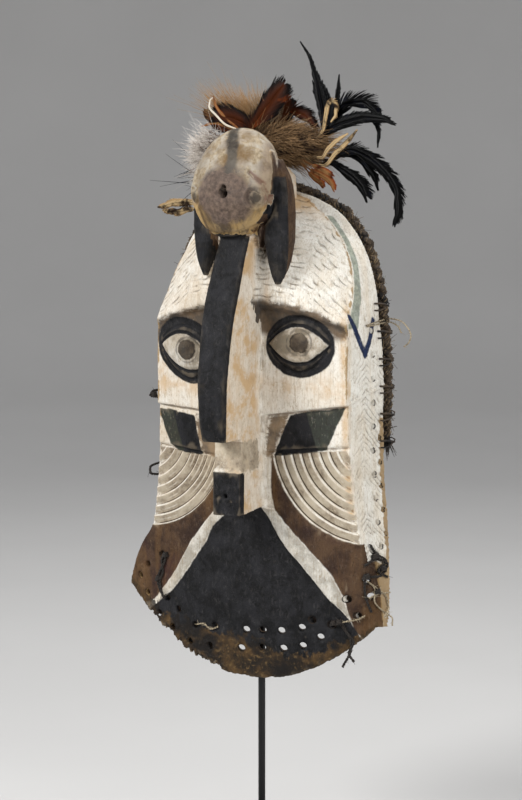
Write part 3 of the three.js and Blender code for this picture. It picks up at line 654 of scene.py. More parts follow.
# The crest's head: a dark stripe over the crown, a grey muzzle, and red in the line beside it
on_head = (y < 12) & (z > 396.5) & (from_head_middle(x, z, 2.5, 3) < 1.04) & (ahead > 6)
on_head &= ~on_horn & ((x < 34) | (from_middle < 0.985))
laid("earth", np.minimum(np.minimum(x - 34, 472 - z), np.minimum((from_middle - 0.98) * 38, 30 - y)),
     (z > 396) & (ahead > 6))
stripe_middle = np.interp(z, (455, 467, 484), (8, 8, -1))
paint["beast"] = np.where(on_head, 6.0, OUTSIDE)
for name, inside, only in (
    ("muzzle", round_patch(x, z, 3, 430, 26, 25), on_head),
    ("jowl", np.minimum(424 - z, 60), on_head),
    ("flank", np.minimum(x - 29, 480 - z), on_head),
    ("stripe", 5.2 - np.abs(x - stripe_middle), on_head & (z > 448)),
    ("red_line", beside(x, z, JAW_LINE, 1.2), on_head),
):
    paint[name] = np.where(only, inside, FAR_OUTSIDE)
paint["dark_eye"] = np.full(len(x), FAR_OUTSIDE)
for inside in (*(5.2 - from_crest_eye(wood, *eye) for eye in CREST_EYES), beside(x, z, MOUTH_LINE, 1.3)):
    paint["dark_eye"] = np.maximum(paint["dark_eye"], np.where(on_head, inside, FAR_OUTSIDE))
paint["inside"] = np.where((depth > 5) & (ahead < 0), np.minimum(depth - 4, 8), OUTSIDE)


def kept(mesh, name, values):
    """Keeps a number for every point of a mesh, for its material to read."""
    numbers = np.asarray(values, dtype=np.float32)
    mesh.attributes.new(name, "FLOAT", "POINT").data.foreach_set("value", numbers)


for name, values in paint.items():
    kept(carving.data, name, values)

# How deep each point lies in a cut: how far its neighbours stand above it, evened out twice. Beside
# a bored hole no point counts as standing proud, and the holes' walls are marked for painted shade.
cut_depth = np.zeros(len(x))
neighbours = np.array([edge.vertices[:] for edge in carving.data.edges])
for start, end in ((0, 1), (1, 0)):
    a, b = neighbours[:, start], neighbours[:, end]
    np.add.at(cut_depth, a, np.einsum("ij,ij->i", wood[b] - wood[a], facing[a]))
for _ in range(2):
    spread, count = np.zeros(len(x)), np.zeros(len(x))
    for a, b in (neighbours.T, neighbours.T[::-1]):
        np.add.at(spread, a, cut_depth[b])
        np.add.at(count, a, 1)
    cut_depth = 0.5 * cut_depth + 0.5 * spread / np.maximum(count, 1)
from_bore, bore_shade_wall = np.full(len(x), 99.0), np.full(len(x), OUTSIDE)
for place, way, radius, half_length in bored:
    apart = wood - place
    down = apart @ way
    away = np.linalg.norm(apart - down[:, None] * way, axis=1) - radius
    away = np.where(np.abs(down) < half_length, away, 99)
    from_bore = np.minimum(from_bore, away)
    bore_shade_wall = np.where((away < 0.6) & ((np.abs(facing @ way) < 0.7) | (away < -0.5)), 1.0, bore_shade_wall)
cut_depth = np.where(from_bore < 5, np.maximum(cut_depth, 0), cut_depth)
kept(carving.data, "bore_shade", bore_shade_wall)
kept(carving.data, "phase", phase)
kept(carving.data, "stroked", np.maximum(on_brow, on_flank * 0.4) * broken)
kept(carving.data, "cut", cut_depth)

mask = carving
mask.name = "mask"
mask.data.materials.clear()
mask.data.transform(Matrix.Translation(CHIN) @ Matrix.Scale(0.001, 4))
mask.data.polygons.foreach_set("use_smooth", [True] * len(mask.data.polygons))


# Shader tools
def node(tree, kind, *inputs, **settings):
    """A shader node. An input is a socket and a value, or another node's output to join."""
    made = tree.nodes.new("ShaderNode" + kind)
    for name, value in settings.items():
        setattr(made, name, value)
    for socket, value in inputs:
        if isinstance(value, bpy.types.NodeSocket):
            tree.links.new(value, made.inputs[socket])
        else:
            made.inputs[socket].default_value = value
    return made


def sums(tree, operation, *values, clamp=False):
    """One step of arithmetic."""
    return node(tree, "Math", *enumerate(values), operation=operation, use_clamp=clamp).outputs[0]


def painted(tree, amount, below, above):
    """One colour laid over another, as thickly as the amount says."""
    return node(tree, "Mix", (0, amount), (6, below), (7, above), data_type="RGBA").outputs[2]


def between(tree, value, low, high, to_low=0.0, to_high=1.0):
    """A value that turns softly from one number to another between its low and its high."""
    return node(tree, "MapRange", ("Value", value), ("From Min", low), ("From Max", high),
                ("To Min", to_low), ("To Max", to_high), interpolation_type="SMOOTHSTEP").outputs[0]


def speckle(tree, scale, detail=4.0, roughness=0.6, stretch=(1, 1, 1), distortion=0.0):
    """Noise about 0.5, in the object's own metres, with its grains drawn out as told."""
    place = node(tree, "TexCoord").outputs["Object"]
    drawn = node(tree, "Mapping", ("Vector", place), ("Scale", stretch)).outputs[0]
    return node(tree, "TexNoise", ("Vector", drawn), ("Scale", scale), ("Detail", detail),
                ("Roughness", roughness), ("Distortion", distortion)).outputs[0]


def shade(red, green, blue):
    """A colour as a painter would mix it on a screen, 0 to 255."""
    return tuple((c / 255) ** 2.2 for c in (red, green, blue)) + (1.0,)


def group(name, inputs, outputs):
    """An empty node group with float inputs and outputs."""
    tree = bpy.data.node_groups.new(name, "ShaderNodeTree")
    for socket, value in inputs.items():
        made = tree.interface.new_socket(socket, in_out="INPUT", socket_type="NodeSocketFloat")
        made.default_value = value
    for socket in outputs:
        tree.interface.new_socket(socket, in_out="OUTPUT", socket_type="NodeSocketFloat")
    return tree, tree.nodes.new("NodeGroupInput").outputs, tree.nodes.new("NodeGroupOutput").inputs


def used(tree, made_group, **inputs):
    """A group put to use, with its inputs set or joined."""
    box = tree.nodes.new("ShaderNodeGroup")
    box.node_tree = made_group
    for name, value in inputs.items():
        if isinstance(value, bpy.types.NodeSocket):
            tree.links.new(value, box.inputs[name.replace("_", " ")])
        else:
            box.inputs[name.replace("_", " ")].default_value = value
    return box.outputs


def new_material(name):
    material = bpy.data.materials.new(name)
    material.use_nodes = True
    tree = material.node_tree
    return material, tree, tree.nodes["Principled BSDF"]


def carried(tree, name):
    """A number that the mesh keeps for each of its points."""
    return node(tree, "Attribute", attribute_name=name).outputs["Fac"]


def dented(tree, surface, height, strength, distance):
    """Lets a height show in the way the surface takes the light."""
    dents = node(tree, "Bump", ("Height", height), ("Strength", strength), ("Distance", distance))
    tree.links.new(dents.outputs[0], surface.inputs["Normal"])


# Paint that has worn back unevenly from its edge and flaked off in specks
worn_paint, given, gives = group("worn paint", {"Inside": 0.0, "Ragged": 2.0, "Flaked": 0.3}, ["Cover"])
blots = speckle(worn_paint, 140, 5, 0.65, (1, 1, 0.6))
wander = sums(worn_paint, "MULTIPLY", sums(worn_paint, "SUBTRACT", blots, 0.5), 4.0)
edge = sums(worn_paint, "MULTIPLY_ADD", wander, given["Ragged"], given["Inside"])
flakes = speckle(worn_paint, 520, 6, 0.75, (1, 1, 0.35))
gone = sums(worn_paint, "MULTIPLY", between(worn_paint, flakes, 0.56, 0.68), given["Flaked"])
cover = sums(worn_paint, "SUBTRACT", between(worn_paint, edge, -0.6, 0.8), gone, clamp=True)
worn_paint.links.new(cover, gives["Cover"])

# Wood grain, drawn out along the log
grain, given, gives = group("wood grain", {"Coarse": 60.0}, ["Streak", "Pore"])
streak = speckle(grain, given["Coarse"], 5, 0.6, (1, 1, 0.09), 0.6)
pore = speckle(grain, 900, 3, 0.6, (1, 1, 0.06))
grain.links.new(streak, gives["Streak"])
grain.links.new(pore, gives["Pore"])

painted_wood, tree, surface = new_material("painted wood")


def mixed(by, low, high):
    """A paint or wood whose colour wanders between two."""
    return painted(tree, by, shade(*low), shade(*high))


fibres = used(tree, grain, Coarse=70.0)
soiling = speckle(tree, 16, 5, 0.6)
fine = speckle(tree, 260, 5, 0.7)
cut = carried(tree, "cut")
sunk = between(tree, cut, 0.05, 1.1)
proud = between(tree, cut, -0.25, -1.3)
fine_grain = between(tree, fine, 0.3, 0.7)
mottle = between(tree, speckle(tree, 46, 6, 0.65), 0.36, 0.64)
blotches = between(tree, speckle(tree, 90, 6, 0.7, distortion=0.5), 0.44, 0.56)
streaks = between(tree, speckle(tree, 42, 5, 0.6, (1, 1, 0.16), 0.8), 0.48, 0.7)
from_stroke = sums(tree, "PINGPONG", carried(tree, "phase"), 0.5)
nicked = sums(tree, "MULTIPLY", between(tree, from_stroke, 0.15, 0.05), carried(tree, "stroked"))
broken_up = between(tree, speckle(tree, 110, 3, 0.6), 0.4, 0.56, 0.1, 1.0)
nicked = sums(tree, "MULTIPLY", nicked, broken_up)

raw = mixed(fibres["Streak"], (96, 76, 54), (170, 140, 98))
raw = painted(tree, between(tree, soiling, 0.5, 0.8), raw, shade(84, 66, 48))
kaolin = mixed(fine, (211, 207, 196), (238, 236, 229))
kaolin = painted(tree, sums(tree, "MULTIPLY", streaks, 0.35), kaolin, shade(206, 184, 150))
kaolin = painted(tree, between(tree, soiling, 0.5, 0.72, 0, 0.5), kaolin, shade(184, 168, 142))
kaolin = painted(tree, sums(tree, "MULTIPLY", blotches, 0.22), kaolin, shade(178, 168, 152))
scuffs = speckle(tree, 230, 6, 0.8, (1, 1, 0.55), 0.6)
kaolin = painted(tree, between(tree, scuffs, 0.52, 0.66, 0, 0.6), kaolin, shade(160, 146, 124))
specks = speckle(tree, 620, 3, 0.7, (1, 1, 0.5))
kaolin = painted(tree, between(tree, specks, 0.6, 0.7, 0, 0.6), kaolin, shade(142, 122, 94))
kaolin = painted(tree, between(tree, fibres["Pore"], 0.5, 0.7, 0, 0.5), kaolin, shade(170, 150, 122))
dusty = sums(tree, "MULTIPLY", between(tree, carried(tree, "ochre"), -1.5, 3.0),
             between(tree, mottle, 0.0, 1.0, 0.3, 0.9))
kaolin = painted(tree, dusty, kaolin, shade(190, 156, 112))
grubby = sums(tree, "MULTIPLY", between(tree, carried(tree, "dusk"), -0.3, 0.8),
              between(tree, mottle, 0.0, 1.0, 0.35, 0.95))
kaolin = painted(tree, grubby, kaolin, shade(112, 104, 90))
cover = used(tree, worn_paint, Inside=4.0, Ragged=1.6, Flaked=0.5)["Cover"]
colour = painted(tree, cover, raw, kaolin)
colour = painted(tree, sums(tree, "MULTIPLY", sunk, 0.6), colour, shade(104, 84, 62))


def coat(below, name, paint_colour, ragged, flaked, thickness=1.0):
    """Lays one paint over the colour below it, and gives its cover too."""
    cover = used(tree, worn_paint, Inside=carried(tree, name), Ragged=ragged, Flaked=flaked)["Cover"]
    return painted(tree, sums(tree, "MULTIPLY", cover, thickness), below, paint_colour), cover


def rubbed_in(below, name, paint_colour, low, high, thickness):
    """A paint, dirt or painted shade with no edge of its own, that fades from high to low."""
    drift = sums(tree, "MULTIPLY_ADD", sums(tree, "SUBTRACT", blotches, 0.5), 2.2, carried(tree, name))
    return painted(tree, between(tree, drift, low, high, 0, thickness), below, paint_colour)


# The wash is paint in the fans' troughs; on the mouth's top it is grime and painted nose shadow.
wash_and_shade = mixed(fine_grain, (104, 89, 72), (162, 148, 127))
colour = rubbed_in(colour, "wash_and_shade", painted(tree, mottle, wash_and_shade, shade(182, 170, 150)), -1.0, 3.0, 0.94)
fan = between(tree, carried(tree, "wash_and_shade"), 3.0, 5.0)
up_ridge = sums(tree, "ABSOLUTE", sums(tree, "SUBTRACT", sums(tree, "FRACT", carried(tree, "phase")), 0.15))
ridge_foot = sums(tree, "MULTIPLY", between(tree, up_ridge, 0.08, 0.02), fan)
colour = painted(tree, ridge_foot, colour, shade(60, 48, 37))
ridge_top = sums(tree, "MULTIPLY", between(tree, from_stroke, 0.11, 0.04), fan)
half_way = sums(tree, "MULTIPLY", between(tree, from_stroke, 0.4, 0.46), sums(tree, "MULTIPLY", streaks, fan))
colour = painted(tree, sums(tree, "MAXIMUM", ridge_top, half_way), colour, kaolin)
colour = rubbed_in(colour, "tan", mixed(mottle, (62, 48, 38), (128, 106, 80)), -1.0, 2.0, 0.9)
colour = rubbed_in(colour, "shadow", mixed(mottle, (42, 33, 26), (92, 73, 53)), -0.5, 5.0, 0.92)
colour = painted(tree, sums(tree, "MULTIPLY", nicked, 0.45), colour, shade(120, 100, 78))
colour, _ = coat(colour, "pupil", mixed(fine_grain, (24, 20, 17), (60, 50, 41)), 1.6, 0.2, 0.95)
colour, _ = coat(colour, "iris", shade(62, 58, 54), 1.2, 0.3, 0.6)
earth = mixed(mottle, (48, 35, 29), (78, 60, 45))
earth = painted(tree, between(tree, soiling, 0.5, 0.72), earth, shade(58, 39, 37))
earth = painted(tree, sums(tree, "MULTIPLY", streaks, 0.45), earth, shade(108, 80, 48))
earth = painted(tree, between(tree, specks, 0.56, 0.68, 0, 0.5), earth, shade(26, 18, 15))
earth = painted(tree, between(tree, scuffs, 0.54, 0.7, 0, 0.45), earth, shade(118, 98, 78))
colour, _ = coat(colour, "earth", earth, 0.7, 0.05)
colour, _ = coat(colour, "green", mixed(fine_grain, (15, 20, 17), (34, 42, 34)), 0.8, 0.25, 0.96)
colour, _ = coat(colour, "faded", mixed(fine_grain, (66, 82, 72), (138, 148, 130)), 1.2, 0.3, 0.75)
colour, _ = coat(colour, "blue", mixed(fine_grain, (20, 27, 52), (42, 54, 82)), 0.7, 0.3)
black = mixed(fine_grain, (7, 7, 8), (21, 21, 23))
black = painted(tree, between(tree, mottle, 0.4, 1.0, 0, 0.5), black, shade(38, 38, 41))
black = painted(tree, sums(tree, "MULTIPLY", blotches, 0.3), black, shade(46, 46, 49))
black = painted(tree, between(tree, scuffs, 0.54, 0.7, 0, 0.5), black, shade(74, 72, 72))
black = painted(tree, between(tree, streaks, 0.5, 1.0, 0, 0.5), black, shade(8, 8, 9))
colour, black_cover = coat(colour, "soot", black, 0.7, 0.03)
cream = mixed(fine_grain, (176, 162, 138), (128, 112, 88))
cream = painted(tree, blotches, cream, shade(170, 162, 148))
cream = painted(tree, between(tree, soiling, 0.45, 0.62), cream, shade(108, 86, 58))
cream = painted(tree, sums(tree, "MULTIPLY", streaks, 0.5), cream, shade(88, 72, 56))
colour, _ = coat(colour, "beast", cream, 0.6, 0.1)
colour = rubbed_in(colour, "flank", mixed(mottle, (96, 78, 66), (150, 132, 110)), -2.0, 6.0, 0.85)
colour = rubbed_in(colour, "jowl", mixed(streaks, (168, 138, 88), (66, 52, 38)), -2.0, 6.0, 0.8)
colour = rubbed_in(colour, "muzzle", mixed(fine_grain, (68, 58, 54), (112, 96, 86)), -3.0, 4.5, 0.95)
colour = rubbed_in(colour, "stripe", mixed(mottle, (34, 34, 34), (84, 80, 74)), -1.5, 2.5, 0.85)
colour = rubbed_in(colour, "red_line", shade(98, 54, 44), -1.0, 1.6, 0.6)
colour = rubbed_in(colour, "dark_eye", shade(38, 33, 28), -1.0, 2.5, 0.75)
rubbed = mixed(fibres["Streak"], (120, 96, 66), (172, 144, 100))
colour, _ = coat(colour, "bare", rubbed, 2.4, 0.3, 0.9)
crust = mixed(mottle, (32, 27, 22), (84, 64, 39))
crust = painted(tree, between(tree, fine, 0.52, 0.68), crust, shade(106, 86, 57))
crust = painted(tree, between(tree, soiling, 0.5, 0.62), crust, shade(28, 24, 21))
colour, _ = coat(colour, "rim", crust, 4.5, 0.15, 0.92)
hollow_wood = mixed(fibres["Streak"], (58, 44, 34), (112, 88, 64))
colour, _ = coat(colour, "inside", painted(tree, mottle, hollow_wood, shade(70, 56, 44)), 2.0, 0.1)
# The bored holes' walls are painted near black, a painted shade for the dark inside each hole.
colour, _ = coat(colour, "bore_shade", mixed(fine_grain, (12, 10, 8), (52, 42, 33)), 0.3, 0.0)
colour = painted(tree, sums(tree, "MULTIPLY", proud, 0.16), colour, shade(190, 172, 146))
tree.links.new(colour, surface.inputs["Base Color"])
rough = sums(tree, "MULTIPLY_ADD", black_cover, -0.12, between(tree, fine, 0.3, 0.7, 0.62, 0.82))
tree.links.new(rough, surface.inputs["Roughness"])
surface.inputs["Specular IOR Level"].default_value = 0.2
height = sums(tree, "MULTIPLY_ADD", fibres["Pore"], 0.6, sums(tree, "MULTIPLY", fine, 0.7))
height = sums(tree, "MULTIPLY_ADD", scuffs, -1.0, height)
height = sums(tree, "MULTIPLY_ADD", nicked, -1.3, height)
dented(tree, surface, height, 0.85, 0.001)
mask.data.materials.append(painted_wood)
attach(mask, "root")
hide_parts("carved_mask")


# The raffia braid. Three strands of dark raffia are plaited round the back of the rim, from the
# right cheek over the crown to the left temple, and stitched on along the sides.
def rim_place(side, z):
    """How far to its side the rim lies at a height."""
    heights = LEVELS[:, 1 if side < 0 else 2]
    half_width = np.interp(z, heights, LEVELS[:, 6])
    if side < 0:
        half_width = half_width + np.interp(z, heights, LEVELS[:, 9]) * RIM_FLARE
    return side * half_width


def gone_along(points):
    """How far along its line each point lies."""
    return np.concatenate([[0], np.cumsum(np.linalg.norm(np.diff(points, axis=0), axis=1))])


def even(points, count):
    """The same line through equally spaced points, on a flowing curve."""
    points = np.array(points, dtype=float)
    run = gone_along(points)
    fine_line = flowing(run, points, np.linspace(0, run[-1], 8 * len(points)))
    run = gone_along(fine_line)
    return np.stack([np.interp(np.linspace(0, run[-1], count), run, axis) for axis in fine_line.T], axis=1)


def directions(line):
    """Along, across and outwards at every point of a line."""
    along = np.gradient(line, axis=0)
    along /= np.linalg.norm(along, axis=1)[:, None]
    across = np.cross(np.broadcast_to(BACKWARDS, along.shape), along)
    across /= np.linalg.norm(across, axis=1)[:, None]
    return along, across, np.cross(along, across)


def spun(name, strands, rounds=0):
    """Strands of (points in millimetres, radius at each point, own number) as one mesh.

    The mesh keeps how far along its strand each point lies, 0 to 1, and the strand's own number."""
    thread = bpy.data.curves.new(name, "CURVE")
    thread.dimensions = "3D"
    thread.bevel_depth = 0.001
    thread.bevel_resolution = rounds
    thread.use_fill_caps = True
    runs, numbers = [], []
    for points, radii, *number in strands:
        spline = thread.splines.new("POLY")
        spline.points.add(len(points) - 1)
        places = np.ones((len(points), 4), dtype=np.float32)
        places[:, :3] = np.asarray(points) * 0.001 + np.array(CHIN)
        spline.points.foreach_set("co", places.ravel())
        spline.points.foreach_set("radius", np.asarray(radii, dtype=np.float32) * np.ones(len(points)))
        runs.append(np.linspace(0, 1, len(points)))
        numbers.append(np.full(len(points), number[0] if number else 0))
    holder = in_scene(name, thread)
    mesh = bpy.data.meshes.new_from_object(holder.evaluated_get(bpy.context.evaluated_depsgraph_get()))
    bpy.data.objects.remove(holder)
    mesh.name = name
    mesh.polygons.foreach_set("use_smooth", [True] * len(mesh.polygons))
    made = in_scene(name, mesh)
    for attribute, values in (("along", runs), ("number", numbers)):
        caps = [end for run in reversed(values) for end in (run[-1], run[0])]
        kept(mesh, attribute, np.repeat(np.concatenate([caps, *values]), 4 + 2 * rounds))
    closed = bmesh.new()
    closed.from_mesh(mesh)
    bmesh.ops.remove_doubles(closed, verts=closed.verts, dist=1e-6)
    closed.to_mesh(mesh)
    closed.free()
    return made


chance = np.random.default_rng(7)
BRAID_DEPTH, BRAID_PITCH, BRAID_RADIUS, STRAND_RADIUS = 51, 25, 3.6, 2.9
WISPS, LOOSE_FIBRES, TASSEL_FIBRES = 12, 1900, 70
rim_line = [(rim_place(1, z) - 1, BRAID_DEPTH, z) for z in range(216, 430, 18)] + [(0, BRAID_DEPTH, 436)]
rim_line += [(rim_place(-1, z) + 1, BRAID_DEPTH, z) for z in range(425, 250, -18)]
braid_line = even(rim_line, 300)
along, across, outwards = directions(braid_line)
run = np.linspace(0, 1, len(braid_line))
braid_length = np.linalg.norm(np.diff(braid_line, axis=0), axis=1).sum()
torn = np.minimum(np.minimum(1, 0.5 + 6 * run), 0.4 + 7 * (1 - run))
strands = []
for k in range(3):
    turn = 2 * math.pi * (run * braid_length / BRAID_PITCH + k / 3)
    uneven = np.array([noise.noise(Vector((k * 9, r * 60, 0))) for r in run])
    line = braid_line + across * (3.3 * np.sin(turn) * torn + 1.5 * uneven)[:, None]
    line = line + outwards * (1.8 * np.sin(2 * turn) * torn)[:, None]
    strands.append((line, STRAND_RADIUS * torn * (1 + 0.16 * uneven)))
    for fray in range(WISPS):
        spin = turn * 2.3 + fray * 0.52 + 0.5 * np.sin(run * chance.uniform(40, 90))
        out = STRAND_RADIUS * torn * (0.96 + 0.1 * np.sin(run * chance.uniform(100, 200) + fray))
        wisp = line + (across * np.cos(spin)[:, None] + outwards * np.sin(spin)[:, None]) * out[:, None]
        strands.append((wisp, chance.uniform(0.4, 0.62) * torn, chance.uniform(0, 1)))

# Stitches hold the braid against the rim, one every 24 mm up each side.
for side, holes in ((1, range(214, 345, 24)), (-1, range(268, 345, 24))):
    for z in holes:
        edge, slack = rim_place(side, z), chance.uniform(0, 1.5)
        loop = [(-10, 37, 1), (-11, 46, 2), (-8, 56, 0), (-2, 60 + slack, -2), (4, 56, -1), (4.5, 46, 1),
                (1.6, 38, 2), (-1, 36.5, 2)]
        strands.append((even([(edge + side * a, b, z + c) for a, b, c in loop], 26), 0.9))
        loop = [(a + 0.3, b, -c * 1.5 - 1) for a, b, c in loop]
        strands.append((even([(edge + side * a, b, z + c) for a, b, c in loop], 26), 0.7))

# Loose fibres stand off all along, and hang in tassels from the two torn ends.
for _ in range(LOOSE_FIBRES):
    k = int(chance.integers(2, len(braid_line) - 2))
    aside = chance.normal(0, 1, 3)
    aside /= np.hypot(aside[0], aside[1])
    start = braid_line[k] + (across[k] * aside[0] + outwards[k] * aside[1]) * BRAID_RADIUS
    heading = (along[k] * chance.choice((-1, 1)) * 1.3 + across[k] * aside[0] * 0.5
               + outwards[k] * aside[1] * 0.5)
    curl = chance.normal(0, 0.7, 3)
    reach = min(chance.gamma(2.5, 1.2), 4.5)
    strands.append(([start + (heading + curl * t) * t * reach * 0.6 for t in np.linspace(0, 1.4, 5)],
                    np.linspace(0.3, 0.14, 5), chance.uniform(0, 1)))
for end, way in ((0, -1), (-1, 1)):
    for _ in range(TASSEL_FIBRES):
        start = braid_line[end] + chance.normal(0, 1.4, 3)
        heading = along[end] * way + chance.normal(0, 0.25, 3)
        reach = chance.uniform(3, 11)
        sway = chance.normal(0, 3, 3)
        strands.append(([start + heading * t * reach + sway * t * t + Vector((0, 0, -3)) * t * t
                         for t in np.linspace(0, 1, 6)], np.linspace(0.55, 0.15, 6)))

braid = spun("raffia_plait", strands)
raffia, tree, surface = new_material("raffia")
fibre = speckle(tree, 900, 4, 0.7)
patchy = speckle(tree, 60, 3, 0.6)
straw = painted(tree, between(tree, fibre, 0.3, 0.7), shade(22, 17, 14), shade(88, 72, 54))
straw = painted(tree, between(tree, patchy, 0.42, 0.62), straw, shade(20, 15, 12))
pale_one = between(tree, carried(tree, "number"), 0.6, 1.0, 0, 0.8)
straw = painted(tree, pale_one, straw, shade(132, 112, 84))
tree.links.new(straw, surface.inputs["Base Color"])
tree.links.new(between(tree, fibre, 0.3, 0.7, 0.6, 0.85), surface.inputs["Roughness"])
dented(tree, surface, fibre, 0.6, 0.0004)
braid.data.materials.append(raffia)
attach(braid, "root")
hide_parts("raffia_braid")


# Old twine. Short lashings are knotted on at the jaws and the left side, and their stiff ends stick
# out or hang from the edge. Ends of a paler thread stand out at the right jaw, over the chin and
# from the braid.
def wound(middle, turns, width, height, lean=0.0):
    """A little coil of twine round a knot, in millimetres."""
    t = np.linspace(0, 2 * math.pi * turns, int(14 * turns))
    return [(middle[0] + width * math.cos(a) * (1 - 0.02 * a), middle[1] + width * 0.8 * math.sin(a),
             middle[2] + height * (a / (2 * math.pi * turns) - 0.5) + lean * math.cos(a)) for a in t]


DARK_CORDS = (
    ((109, 6, 128), (112, 6, 119), (117, 6, 111), (114, 6, 104), (119, 6, 97)),
    ((107, 6, 110), (112, 6, 114), (118, 6, 108), (115, 6, 99), (107, 6, 100)),
    ((107, 6, 99), (106, 6, 88), (108, 6, 78), (111, 6, 68)),
    ((-90, -2, 104), (-92, -2, 95), (-97, -2, 87), (-101, -2, 78), (-97, -2, 69), (-93, -2, 61)),
    ((-92, -2, 104), (-95, -2, 96), (-94, -2, 86), (-98, -2, 77), (-96, -2, 67)),
    ((83, -5, 60), (88, -5, 52), (93, -5, 44), (94, -5, 35), (92, -5, 21)),
    ((85, -5, 60), (90, -5, 50), (96, -5, 41), (98, -5, 33), (103, -5, 27)),
    ((-104, 34, 246), (-109, 26, 249), (-113, 20, 250), (-114, 16, 246), (-110, 15, 242), (-104, 20, 243)),
    ((-106, 34, 178), (-111, 24, 182), (-115, 18, 180), (-113, 14, 174), (-108, 16, 172), (-105, 24, 174)),
)
PALE_THREADS = (
    ((101, 52, 318), (108, 54, 322), (118, 52, 321), (126, 50, 316), (130, 50, 308), (128, 50, 302),
     (123, 51, 298)),
    ((101, 52, 317), (109, 53, 319), (117, 51, 316), (121, 50, 310)),
    ((108, 4, 97), (113, 4, 88), (114, 4, 79), (118, 4, 70), (124, 4, 64), (135, 4, 61)),
    ((110, 4, 95), (115, 4, 88), (120, 4, 80), (122, 4, 72), (128, 4, 67), (131, 4, 72)),
    ((110, 4, 81), (116, 4, 84), (122, 4, 84)),
    ((83, -5, 57), (90, -5, 59), (99, -5, 61), (106, -5, 65)),
    ((-56, -4, 42), (-48, -4, 44), (-40, -4, 40), (-32, -4, 43)),
)
KNOTS = ((112, 6, 117, 3.4), (116, 6, 105, 3.2), (108, 6, 100, 3.2), (115, 6, 86, 2.6), (84, -5, 58, 3.0),
         (79, -5, 57, 2.6), (-91, -2, 102, 2.8), (-100, -2, 79, 2.8), (-111, 18, 247, 2.6),
         (-112, 19, 178, 2.6))


def on_wood(points, off):
    """Points brought down onto the wood, if there is any behind them."""
    placed = []
    for x, y, z in points:
        behind = wood[np.hypot(wood[:, 0] - x, wood[:, 2] - z) < 2.5, 1]
        placed.append((x, min(behind) - off if len(behind) else y, z))
    return placed


def twisted(points, radius):
    """Two plies laid round each other, as strands."""
    line = even(points, 12 * len(points))
    along, across, outwards = directions(line)
    turn = gone_along(line) * 1.1
    for ply in (0, math.pi):
        beside_it = across * np.cos(turn + ply)[:, None] + outwards * np.sin(turn + ply)[:, None]
        yield line + beside_it * radius * 0.55, radius * 0.7


cords = [ply for points in DARK_CORDS for ply in twisted(on_wood(points, 0.9), 1.05)]
for x, y, z, size in KNOTS:
    (place,) = on_wood([(x, y, z)], 1)
    cords.append((wound(place, 3.5, size, size * 1.5, 0.6), 0.9))
threads = [ply for points in PALE_THREADS for ply in twisted(on_wood(points, 1.4), 0.62)]


def frayed(strands, each):
    """Short fibres that stand off the strands."""
    for points, *_ in strands:
        for _ in range(each):
            k = int(chance.integers(1, len(points) - 1))
            start, curl = np.array(points[k]), chance.normal(0, 1.1, 3)
            heading = (np.array(points[k]) - np.array(points[k - 1])) * chance.choice((-1, 1)) * 1.5
            fibre = [start + (heading + curl) * t + curl * t * t for t in np.linspace(0, 1, 4)]
            yield fibre, np.linspace(0.25, 0.1, 4)


def twine_finish(name, low, high):
    finish, tree, surface = new_material(name)
    fibre = speckle(tree, 800, 4, 0.7)
    tree.links.new(painted(tree, between(tree, fibre, 0.3, 0.7), low, high), surface.inputs["Base Color"])
    surface.inputs["Roughness"].default_value = 0.8
    dented(tree, surface, fibre, 0.6, 0.0004)
    return finish


for name, strands, finish in (
    ("twine_lashings", cords, twine_finish("dark twine", shade(9, 8, 7), shade(46, 38, 31))),
    ("thread_ends", threads, twine_finish("pale thread", shade(92, 80, 62), shade(178, 164, 138))),
):
    lashing = spun(name, strands + list(frayed(strands, 8)), 1)
    lashing.data.materials.append(finish)
    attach(lashing, "root")


# The feathers. Cock's hackles and sickles, black with a blue gloss, stand in a bunch at the right of
# the crest. Brown, cream, white and orange ones fan out behind its head. Each has a shaft and two
# vanes of barbs, worn into splits. The quills stick in the hide pad or its hair, but for two that
# stand free just outside the braid at the left, where the real ones would be tied on.

